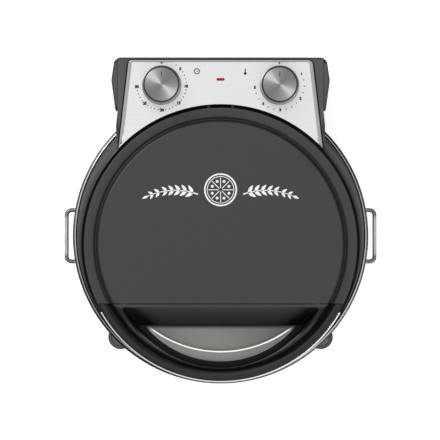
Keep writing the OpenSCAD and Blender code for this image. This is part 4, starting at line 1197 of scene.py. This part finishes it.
class PIZZA_OT_foot_rings(bpy.types.Operator):
    """Raise the stepped ring on each front foot disc, between two dark lines."""

    bl_idname = "pizza_maker.foot_rings"
    bl_label = "Raise the Foot Rings"

    FOOT_R = 15.1
    FOOT_HEIGHT = 5.0
    RING = np.array([(-2.6, -0.4), (-1.4, -0.4), (-1.4, 0.5), (-1.9, 0.9), (-3.2, 0.9),
                     (-3.6, 0.5), (-3.6, -0.4), (-2.8, -0.4)])
    LINES = ((-3.5, -5.0), (-0.03, -1.6))

    def execute(self, context):
        r = self.FOOT_R
        for side, name in ((-1, "left"), (1, "right")):
            low, high = span("front_" + name + "_leg")
            z = low[2] + self.FOOT_HEIGHT
            centre = np.array([(high[0] if side > 0 else low[0]) - side * r, low[1] + r])
            ring = rounded(self.RING + (r, z), [0.2, 0.5, 0.4, 0.4, 0.3, 0.2], 3)[:-1]
            # leg_plastic is the grey plastic lightened: painted light.
            piece(name + "_foot_ring", skin(lathe(ring, centre, 96), "loop"), "base",
                  "grey_plastic", (), 45, "leg_plastic")
            lines = [flat_ring(centre, r + outer, r + inner, (z - 0.3, z + 0.14), 96)
                     for outer, inner in self.LINES]
            piece(name + "_foot_lines", joined(lines), "base", "black_plastic", (), 45,
                  "black_rubber")
        return {"FINISHED"}


class PIZZA_OT_edges(bpy.types.Operator):
    """Weld, smooth and soften the edges of the solids that keep their own shape."""

    bl_idname = "pizza_maker.edges"
    bl_label = "Soften the Edges"

    SOFT = {"lid_frame": 0.5, "left_hinge_arm": 2.2, "right_hinge_arm": 2.2,
            "rear_bracket": 1.0, "bracket_floor": 0.4, "front_left_leg": 0.4,
            "front_right_leg": 0.4, "foot_pads": 0.4, "baking_stone": 0.3}

    def execute(self, context):
        smooth = smooth_by_angle(math.radians(32))
        for name, thing in NODES.items():
            thing.modifiers.new("weld", "WELD").merge_threshold = 0.004 * MM
            if name in self.SOFT:
                flat = thing.modifiers.new("flat", "DECIMATE")
                flat.decimate_type, flat.angle_limit = "DISSOLVE", math.radians(0.6)
                bevel = thing.modifiers.new("edge", "BEVEL")
                bevel.width, bevel.segments = self.SOFT[name] * MM, 3
                bevel.limit_method, bevel.angle_limit = "ANGLE", math.radians(40)
                bevel.use_clamp_overlap = True
            thing.modifiers.new("smooth", "NODES").node_group = smooth
        return {"FINISHED"}


def smooth_by_angle(limit):
    """A modifier's node tree that shades smooth and keeps edges over the limit sharp."""
    tree = bpy.data.node_groups.new("smooth by angle", "GeometryNodeTree")
    for way in ("INPUT", "OUTPUT"):
        tree.interface.new_socket("Geometry", in_out=way, socket_type="NodeSocketGeometry")
    nodes = Nodes(tree)
    start, end = nodes.add("NodeGroupInput"), nodes.add("NodeGroupOutput")
    angle = nodes.add("GeometryNodeInputMeshEdgeAngle").outputs["Unsigned Angle"]
    over = nodes.add("FunctionNodeCompare", {0: angle, 1: limit}, operation="GREATER_THAN")
    faces = nodes.add("GeometryNodeSetShadeSmooth", {0: start.outputs[0]}, domain="FACE")
    edges = nodes.add("GeometryNodeSetShadeSmooth", {
        0: faces.outputs[0], "Selection": over.outputs[0], "Shade Smooth": False}, domain="EDGE")
    nodes.fill(end.inputs[0], edges.outputs[0])
    return tree


# ---- stage ----


def area_light(name, place, power, target=Vector((0, 0, 0.1)), size=1.2):
    """A square soft light that faces target."""
    data = bpy.data.lights.new(name, "AREA")
    data.energy, data.size = power, size
    light = bpy.data.objects.new(name, data)
    light.location = place
    light.rotation_mode = "QUATERNION"
    light.rotation_quaternion = (target - Vector(place)).to_track_quat("-Z", "Y")
    bpy.context.scene.collection.objects.link(light)
    return light


def studio_world(lobes=0.95):
    """A white dome that is dim at the horizon, brightest between it and straight above, and
    brighter towards the left rear and right front than across: its strength is a ramp of the
    height times 1 - 2 lobes x y."""
    world = bpy.data.worlds.new("studio")
    bpy.context.scene.world = world
    world.use_nodes = True
    nodes = Nodes(world.node_tree)
    back = nodes.tree.nodes["Background"]
    place = nodes.add("ShaderNodeTexCoord").outputs["Generated"]
    x, y, z = nodes.add("ShaderNodeSeparateXYZ", {0: place}).outputs
    ramp = nodes.add("ShaderNodeValToRGB", {0: z})
    stops = ramp.color_ramp.elements
    for at, level in ((0.0, 0.16), (0.14, 0.272), (0.32, 0.72), (0.6, 0.896), (0.86, 0.84),
                      (1.0, 0.848)):
        stop = stops[0] if at == 0 else stops[-1] if at == 1 else stops.new(at)
        stop.color = (level,) * 3 + (1,)
    swing = nodes.math("MULTIPLY", nodes.math("MULTIPLY", x, y), -2 * lobes)
    nodes.fill(back.inputs["Color"], ramp.outputs["Color"])
    nodes.fill(back.inputs["Strength"], nodes.math("ADD", swing, 1.0))


class PIZZA_OT_stage(bpy.types.Operator):
    """Set the pale floor, the soft lights and the camera above the lid."""

    bl_idname = "pizza_maker.stage"
    bl_label = "Set the Stage"

    FRAME_WIDTH = 440 * 1.218 * MM
    TARGET = Vector((-0.7, 0.95, 134)) * MM
    FLOOR = 6.0

    def execute(self, context):
        s = context.scene.pizza_maker
        mesh = bpy.data.meshes.new("floor")
        corners = [(x * self.FLOOR, y * self.FLOOR, 0)
                   for x, y in ((-1, -1), (1, -1), (1, 1), (-1, 1))]
        mesh.from_pydata(corners, [], [(0, 1, 2, 3)])
        floor = bpy.data.objects.new("floor", mesh)
        context.scene.collection.objects.link(floor)
        f = Finish("floor", Roughness=0.9, Specular_IOR_Level=0.1, Emission_Color=(1, 1, 1),
                   Emission_Strength=0.4)
        f.mottle(f.noise(3.0), (1, 1, 1), 0.93, 0.95)
        mesh.materials.append(f.material)
        floor.visible_glossy = False
        studio_world()
        area_light("key", (-1.6, 1.6, 1.9), 38)
        area_light("fill", (1.7, -1.6, 1.8), 29).visible_glossy = False
        data = bpy.data.cameras.new("camera")
        camera = bpy.data.objects.new("camera", data)
        context.scene.collection.objects.link(camera)
        data.sensor_width = 36.0
        data.lens = data.sensor_width * s.camera_distance / self.FRAME_WIDTH
        data.clip_end = 100
        from_target = Vector((0, -math.sin(s.camera_tilt), math.cos(s.camera_tilt)))
        camera.location = self.TARGET + from_target * s.camera_distance
        camera.rotation_mode = "QUATERNION"
        camera.rotation_quaternion = (self.TARGET - camera.location).to_track_quat("-Z", "Y")
        context.scene.camera = camera
        context.scene.view_settings.view_transform = "Standard"
        return {"FINISHED"}


class PIZZA_PT_panel(bpy.types.Panel):
    """Lists the dressing's steps and sizes."""

    bl_idname = "PIZZA_PT_panel"
    bl_label = "Pizza Maker"
    bl_space_type = "VIEW_3D"
    bl_region_type = "UI"
    bl_category = "Pizza Maker"

    def draw(self, context):
        for name in PizzaMakerSettings.__annotations__:
            self.layout.prop(context.scene.pizza_maker, name)
        for operator in OPERATORS:
            self.layout.operator(operator.bl_idname)


OPERATORS = (PIZZA_OT_stage, PIZZA_OT_finishes, PIZZA_OT_cover, PIZZA_OT_window,
             PIZZA_OT_grip, PIZZA_OT_panel, PIZZA_OT_dials, PIZZA_OT_knobs,
             PIZZA_OT_handles, PIZZA_OT_foot_rings, PIZZA_OT_ornament, PIZZA_OT_rim,
             PIZZA_OT_bead, PIZZA_OT_edges)
CLASSES = (PizzaMakerSettings, *OPERATORS, PIZZA_PT_panel)


def register():
    for cls in CLASSES:
        bpy.utils.register_class(cls)
    bpy.types.Scene.pizza_maker = PointerProperty(type=PizzaMakerSettings)


def unregister():
    del bpy.types.Scene.pizza_maker
    for cls in reversed(CLASSES):
        bpy.utils.unregister_class(cls)


def main():
    """Runs every step in order and keeps the sizes."""
    register()
    for operator in OPERATORS:
        group, name = operator.bl_idname.split(".")
        getattr(getattr(bpy.ops, group), name)()


if __name__ == "__main__":
    main()
